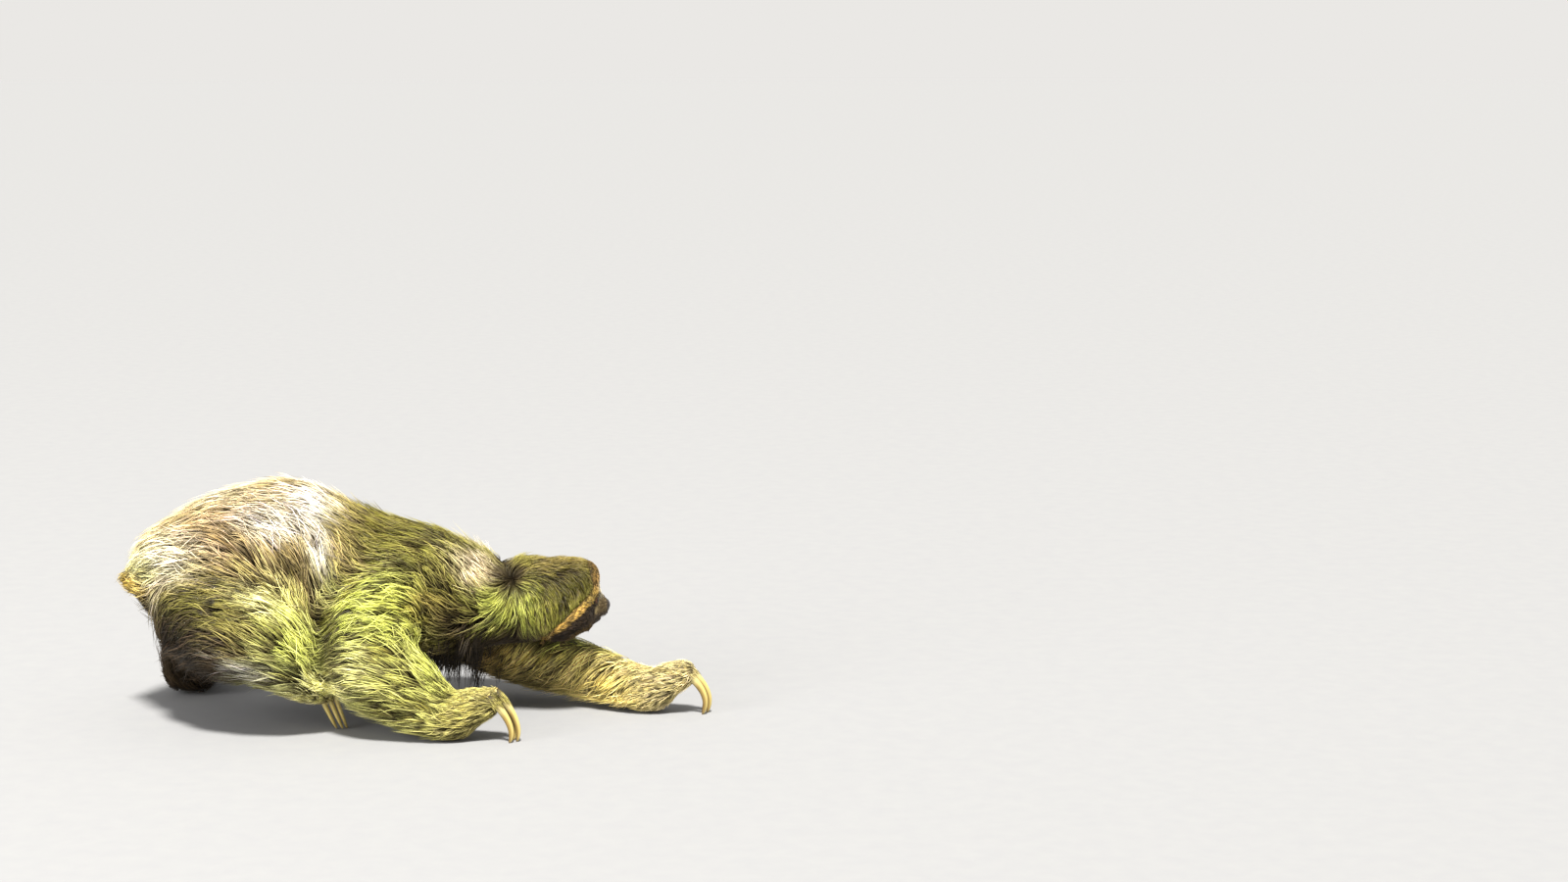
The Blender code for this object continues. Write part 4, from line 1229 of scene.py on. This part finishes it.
# How far the hair stands off: more at the nape, the whorl's parting, the rump, the outer side of
# the far shank and under the near thigh, and flat on the crown.
NAPE = np.exp(-((H[:, 0] + 0.046) / 0.016) ** 2) * ease(N[:, 2], 0.2, 0.7) * (SHARES[:, 1] + SHARES[:, 2])
LIFT = 0.0036 + 0.0034 * NAPE + 0.0022 * PARTING + 0.0008 * ease(-O[:, 0], 0.20, 0.29)
LIFT = LIFT + 0.0010 * ease(N[:, 2], 0.3, 0.9) - 0.0025 * HELMET
LIFT = LIFT + 0.0060 * SHARES[:, FLESH.index("left_shank")] * ease(-N[:, 0], 0.1, 0.6)
LIFT = LIFT + 0.0090 * SHARES[:, FLESH.index("right_thigh")] * ease(-N[:, 2], 0.0, 0.5)
CHEST = ease(-N[:, 2], 0.10, 0.60) * ease(O[:, 0], -0.01, 0.02) * (1.0 - ease(O[:, 0], 0.105, 0.125))
CHEST = CHEST * (O[:, 2] < 0.13) * (O[:, 2] > 0.045) * (1.0 - HELMET) * (O[:, 1] > -0.085)

ON_HEAD = (HELMET > 0.5).astype(float)
BODY_HAIR = (1.0 - SHORT_HAIR) * (1.0 - FACE_ON) * OFF_FLOOR * (1.0 - ON_HEAD)
MUZZLE_SHARE = ease(head_places[:, 0], 0.050, 0.056)
long_strands = grow(
    count=50000, density=BODY_HAIR * (1.0 + 2.0 * PARTING), length=LENGTH,
    width=np.full(len(O), 0.00125), rings=4, parts=4, lock_size=17, lift=LIFT, wave=0.0020, stray=0.06)
head_strands = grow(
    count=10500, density=ON_HEAD * (1.0 - FACE_ON) * (1.0 + 2.5 * PARTING), length=LENGTH,
    width=np.full(len(O), 0.00090), rings=5, parts=3, lock_size=15, lift=LIFT, wave=0.0022, stray=0.06)
short_strands = grow(
    count=14000, density=SHORT_HAIR * (1.0 - FACE_ON) * OFF_FLOOR, length=LENGTH,
    width=np.full(len(O), 0.00078), rings=4, parts=2, lock_size=9, lift=LIFT * 0.4, wave=0.0010,
    stray=0.06)
face_strands = grow(
    count=12300, density=FACE_ON * np.clip(1.0 - BARE, 0.0, 1.0), length=LENGTH,
    width=0.00058 - 0.00016 * MUZZLE_SHARE, rings=4, parts=2, lock_size=9,
    lift=LIFT * (0.22 - 0.14 * MUZZLE_SHARE), wave=0.0006, stray=0.05)
chest_strands = hang(count=1200, density=CHEST, length=0.040, width=0.0011)


def is_of(strands, *names):
    """True for each strand that is rooted on one of the named solids."""
    return np.isin(OWNER[strands["root"]], [FLESH.index(name) for name in names])


def limb(side, parts):
    """Names of one side's solids."""
    return [f"{side}_{part}" for part in parts]


right = O[long_strands["root"], 1] < TRUNK_MIDDLE
high = O[long_strands["root"], 2] > 0.205
on_trunk = is_of(long_strands, "trunk")
LONG_PIECES = (
    ("coat_back", "coat_olive", on_trunk & high),
    ("coat_flank_right", "coat_olive", on_trunk & ~high & right),
    ("coat_flank_left", "coat_olive", on_trunk & ~high & ~right),
    ("coat_tail", "coat_pale", is_of(long_strands, "tail")),
    ("coat_neck", "coat_olive", is_of(long_strands, "neck")),
    ("coat_arm_right", "coat_olive", is_of(long_strands, *limb("right", LENGTHS_OF_LIMB[:3]))),
    ("coat_arm_left", "coat_olive", is_of(long_strands, *limb("left", LENGTHS_OF_LIMB[:3]))),
    ("coat_leg_right", "coat_olive", is_of(long_strands, *limb("right", LENGTHS_OF_LIMB[3:]))),
    ("coat_leg_left", "coat_olive", is_of(long_strands, *limb("left", LENGTHS_OF_LIMB[3:]))),
)
for name, slot, rule in LONG_PIECES:
    piece = strand_mesh(name, long_strands, np.flatnonzero(rule))
for name, slot, rule in (
    ("coat_hands", "coat_gold", O[short_strands["root"], 0] > -0.02),
    ("coat_feet", "coat_gold", O[short_strands["root"], 0] <= -0.02),
):
    piece = strand_mesh(name, short_strands, np.flatnonzero(rule))
head_right = H[head_strands["root"], 1] < 0.0
for name, strands, rule in (
    ("coat_head_right", head_strands, head_right),
    ("coat_head_left", head_strands, ~head_right),
    ("coat_face", face_strands, face_strands["root"] >= 0),
    ("coat_chest_fringe", chest_strands, chest_strands["root"] >= 0),
):
    piece = strand_mesh(name, strands, np.flatnonzero(rule))

# ---------------------------------------------------------------- eyes


def make_eye(side):
    """A ball turned to the gaze, r = R + bulge(angle), with the cornea's bulge an eased cap of
    40 degrees. Polar angle and turn are the two parameters; the poles are single corners."""
    middle, out, along, up = eye_frame(side)
    polar = np.linspace(0.0, np.pi, 26)[1:-1]
    turn = np.linspace(0.0, 2.0 * np.pi, 36, endpoint=False)
    radius = EYE_ROUND + 0.00045 * (1.0 - ease(np.degrees(polar), 12.0, 42.0))
    ring = (np.cos(polar)[:, None, None] * out
            + np.sin(polar)[:, None, None] * (np.cos(turn)[:, None] * along + np.sin(turn)[:, None] * up))
    ring = ring * radius[:, None, None]
    places = np.concatenate([out[None] * (EYE_ROUND + 0.00045), ring.reshape(-1, 3), -out[None] * EYE_ROUND])
    wide = len(turn)
    here = np.arange(wide)
    after = (here + 1) % wide
    faces = [np.stack([np.zeros(wide, int), 1 + here, 1 + after], axis=1)]
    for r in range(len(polar) - 1):
        a, b = 1 + r * wide + here, 1 + r * wide + after
        faces += [np.stack([a, a + wide, b + wide], axis=1), np.stack([a, b + wide, b], axis=1)]
    bottom = 1 + (len(polar) - 1) * wide
    faces.append(np.stack([bottom + after, bottom + here, np.full(wide, len(places) - 1)], axis=1))
    faces = np.concatenate(faces)
    placed = (places + middle) @ HEAD_TURN.T + np.array(HEAD_AT)
    if side == "right":
        faces = faces[:, ::-1]
    first = placed[faces[0]]
    facing = np.cross(first[1] - first[0], first[2] - first[0])
    if facing @ (HEAD_TURN @ out) < 0.0:
        faces = faces[:, ::-1]
    mesh = mesh_of(f"eye_{side}", placed, faces)
    number_on(mesh, "ring", np.concatenate([(0.0,), np.repeat(polar / np.radians(60.0), wide), (3.0,)]))
    mesh.materials.append(EYE_MATERIAL)
    piece = collection_object(f"eye_{side}", mesh)
    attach(piece, "root")
    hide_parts(f"{side}_eye")


EYE_MATERIAL = eye_material()
for side in SIDES:
    make_eye(side)

# ---------------------------------------------------------------- claws

CLAW_RINGS, CLAW_SIDES = 22, 20
CLAW_STOUT = 1.42  # width against the solid's, whose flat sides measure less than its corners


def make_claw(name):
    """A claw: an egg-shaped section carried along a curve through the solid's root, middle and tip.
    The curve is a quadratic Bezier; the section narrows from the root's width to a blunt tip and
    is deeper than it is wide, with its crest on the outside of the bend."""
    places, _, _, _ = read(NODES[name].data)
    paw_low, paw_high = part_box(name.split("_claw_")[0])
    middle = places.mean(axis=0)
    axis = np.linalg.svd(places - middle, full_matrices=False)[2][0]
    axis = axis * np.sign((middle - (np.array(paw_low) + np.array(paw_high)) / 2.0) @ axis)
    across = unit(np.cross(axis, (0.0, 0.0, 1.0) if abs(axis[2]) < 0.7 else (1.0, 0.0, 0.0))[None])[0]
    turns = [across * math.cos(turn) + np.cross(axis, across) * math.sin(turn)
             for turn in np.linspace(0.0, math.pi, 12, endpoint=False)]
    spot = (places - middle) @ axis
    levels = np.linspace(spot.min(), spot.max(), 9)
    middles, widths = [], []
    for start, end in zip(levels[:-1], levels[1:]):
        slab = places[(spot >= start - 0.002) & (spot <= end + 0.002)]
        middles.append((slab.min(axis=0) + slab.max(axis=0)) / 2.0)
        widths.append(min(np.ptp(slab @ way) for way in turns))
    middles = np.array(middles)
    tip = places[spot > spot.max() - 0.0010].mean(axis=0)
    root = places[spot < spot.min() + 0.0040].mean(axis=0)
    bow = 1.30 if "hand" in name else 1.0
    chord = (root + tip) / 2.0
    bend = chord + (middles[len(middles) // 2] - chord) * 2.0 * bow
    inward = unit((root - bend)[None])[0] * 0.008
    t = np.linspace(0.0, 1.0, CLAW_RINGS)[:, None]
    line = (root + inward) * (1 - t) ** 2 + bend * 2 * t * (1 - t) + tip * t ** 2
    tangent = unit(np.gradient(line, axis=0))
    straight = unit((tip - root)[None])[0]
    outside = bend - (root + tip) / 2.0
    outside = outside - straight * (outside @ straight)
    if np.linalg.norm(outside) < 0.0015:
        outside = np.array((0.7, 0.0, 0.7))
    crest = unit(outside[None] - tangent * (tangent @ outside)[:, None])
    side = np.cross(tangent, crest)
    wide = np.array(widths).max() * 0.5 * CLAW_STOUT
    taper = np.interp(t[:, 0], (0.0, 0.25, 0.7, 0.93, 1.0), (0.82, 0.86, 0.60, 0.40, 0.16))
    angle = np.linspace(0.0, 2 * np.pi, CLAW_SIDES, endpoint=False)
    out = np.cos(angle) * np.where(np.cos(angle) > 0, 1.18, 0.80)
    across = np.sin(angle) * (0.86 - 0.14 * np.cos(angle))
    ring = (line[:, None] + crest[:, None] * (wide * taper[:, None] * out)[..., None]
            + side[:, None] * (wide * taper[:, None] * across)[..., None])
    ring[..., 2] = np.maximum(ring[..., 2], 0.0002)
    points = np.concatenate([ring.reshape(-1, 3), line[:1], line[-1:]])
    here = np.arange(CLAW_SIDES)
    after = (here + 1) % CLAW_SIDES
    faces = []
    for r in range(CLAW_RINGS - 1):
        a, b = r * CLAW_SIDES + here, r * CLAW_SIDES + after
        faces.append(np.stack([a, b, b + CLAW_SIDES], axis=1))
        faces.append(np.stack([a, b + CLAW_SIDES, a + CLAW_SIDES], axis=1))
    last = (CLAW_RINGS - 1) * CLAW_SIDES
    faces.append(np.stack([after, here, np.full(CLAW_SIDES, len(points) - 2)], axis=1))
    faces.append(np.stack([last + here, last + after, np.full(CLAW_SIDES, len(points) - 1)], axis=1))
    faces = np.concatenate(faces)
    a, b, c = (points[faces[:, k]] for k in range(3))
    if (np.cross(b - a, c - a) * (a - points.mean(axis=0))).sum() < 0.0:
        faces = faces[:, ::-1]
    piece_name = f"horn_{name}"
    mesh = mesh_of(piece_name, points, faces)
    number_on(mesh, "along", np.concatenate([np.repeat(t[:, 0], CLAW_SIDES), (0.0, 1.0)]))
    # Painted highlight and shade: 1 on the crest, 0 underneath, as if the claw is lit from above its bend.
    crest_highlight_and_shade = np.clip(0.5 + 0.5 * np.cos(angle), 0.0, 1.0)
    number_on(mesh, "crest", np.concatenate([np.tile(crest_highlight_and_shade, CLAW_RINGS), (0.5, 0.5)]))
    mesh.materials.append(CLAW_MATERIAL)
    piece = collection_object(piece_name, mesh)
    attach(piece, "root")
    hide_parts(name)
    return line, wide, crest, side


def cuff(line, wide, crest, side, count, share):
    """Hair over the root of a claw: strands that start in the paw, round the claw on its crest and
    sides, and run along it for a share of its length, standing off a little more at the tip."""
    rings = 4
    turn = RNG.normal(0.0, 1.1, count)
    start = RNG.uniform(0.0, 0.05, count)
    end = start + share * RNG.uniform(0.45, 1.1, count)
    spot = (start[:, None] + (end - start)[:, None] * np.linspace(0.0, 1.0, rings)) * (len(line) - 1)
    low = np.minimum(spot.astype(int), len(line) - 2)
    part = (spot - low)[..., None]
    along = line[low] * (1.0 - part) + line[low + 1] * part
    out = unit(crest[low] * (np.cos(turn) * 1.18)[:, None, None] + side[low] * np.sin(turn)[:, None, None])
    stand = np.linspace(0.2, 1.0, rings)[None] * RNG.uniform(0.0002, 0.0018, count)[:, None] + wide * 0.92
    path = along + out * stand[..., None]
    astray = RNG.normal(0.0, 0.0012, count)[:, None] * np.linspace(0.0, 1.0, rings)
    path = path + side[low] * astray[..., None]
    nearest = ((O[TRIANGLES[:, 0]] - line[0]) ** 2).sum(axis=1).argmin()
    corner = TRIANGLES[nearest, 0]
    return dict(path=path, normal=out, width=RNG.uniform(0.0007, 0.0011, count),
                tone=np.clip(0.55 + 0.25 * RNG.standard_normal(count), 0.0, 1.0),
                tint=np.clip(0.50 + 0.20 * RNG.standard_normal(count), 0.0, 1.0),
                uv=np.tile(UNWRAP[LOOPS[nearest]].mean(axis=0), (count, 1)),
                marking=np.tile(MARKING[corner], (count, 1)), root=np.full(count, corner))


CLAW_MATERIAL = claw_material()
cuffs = []
for claw in sorted(name for name in NODES if "_claw_" in name):
    horn = make_claw(claw)
    cuffs.append(cuff(*horn, count=110, share=0.25 if "hand" in claw else 0.14))
cuff_strands = {key: np.concatenate([part[key] for part in cuffs]) for key in cuffs[0]}
strand_mesh("coat_cuffs", cuff_strands, np.arange(len(cuff_strands["root"])))

# ---------------------------------------------------------------- floor, light and camera


def make_floor():
    """The plain pale floor at z = 0."""
    mesh = bpy.data.meshes.new("floor")
    half = 30.0
    corners = [(-half, -half, 0), (half, -half, 0), (half, half, 0), (-half, half, 0)]
    mesh.from_pydata(corners, [], [(0, 1, 2, 3)])
    made, tree, shader = new_material("pale_floor")
    shader.inputs["Specular IOR Level"].default_value = 0.05
    tree.links.new(mixed(tree, noise(tree, 40.0, 4.0), (0.30, 0.30, 0.31), (0.33, 0.33, 0.33)),
                   shader.inputs["Base Color"])
    shader.inputs["Roughness"].default_value = 1.0
    mesh.materials.append(made)
    collection_object("floor", mesh)


make_floor()


def area_light(name, place, target, size, power, colour):
    """A soft round lamp aimed at a place."""
    lamp = bpy.data.lights.new(name, "AREA")
    lamp.shape = "DISK"
    lamp.size = size
    lamp.energy = power
    lamp.color = colour
    made = collection_object(name, lamp)
    made.location = place
    aim = Vector(target) - Vector(place)
    made.rotation_euler = aim.to_track_quat("-Z", "Y").to_euler()


def wide_light(name, way, strength, spread_angle, colour):
    """A lamp as far off as the sun, that shines from the given way."""
    lamp = bpy.data.lights.new(name, "SUN")
    lamp.energy = strength
    lamp.angle = math.radians(spread_angle)
    lamp.color = colour
    made = collection_object(name, lamp)
    made.rotation_euler = (-Vector(way)).to_track_quat("-Z", "Y").to_euler()


BACKDROP = paint(234, 232, 229)  # the pale wall, as bright as the floor's far edge
SKY_GLOW = (0.550, 0.545, 0.534)  # the even light of the room
wide_light("key", (0.02, -0.60, 1.0), 7.6, 9.0, (1.0, 0.98, 0.93))
area_light("fill", (-2.6, -2.2, 1.4), (0.0, 0.0, 0.1), 2.0, 70.0, (1.0, 0.99, 0.97))

world = bpy.data.worlds.new("studio")
world.use_nodes = True
sky = world.node_tree
seen = sky.nodes.new("ShaderNodeLightPath").outputs["Is Camera Ray"]
wall = mixed(sky, seen, SKY_GLOW, BACKDROP)
sky.links.new(wall, sky.nodes["Background"].inputs["Color"])
sky.nodes["Background"].inputs["Strength"].default_value = 1.0
bpy.context.scene.world = world
bpy.context.scene.view_settings.view_transform = "Standard"

lens = bpy.data.cameras.new("camera")
lens.lens = 67.5
lens.sensor_width = 36.0
lens.clip_start, lens.clip_end = 0.05, 100.0
camera = collection_object("camera", lens)
camera.location = (0.3194, -3.2388, 0.7781)
camera.rotation_euler = Euler((math.radians(81.657), 0.0, math.radians(-1.587)))
bpy.context.scene.camera = camera
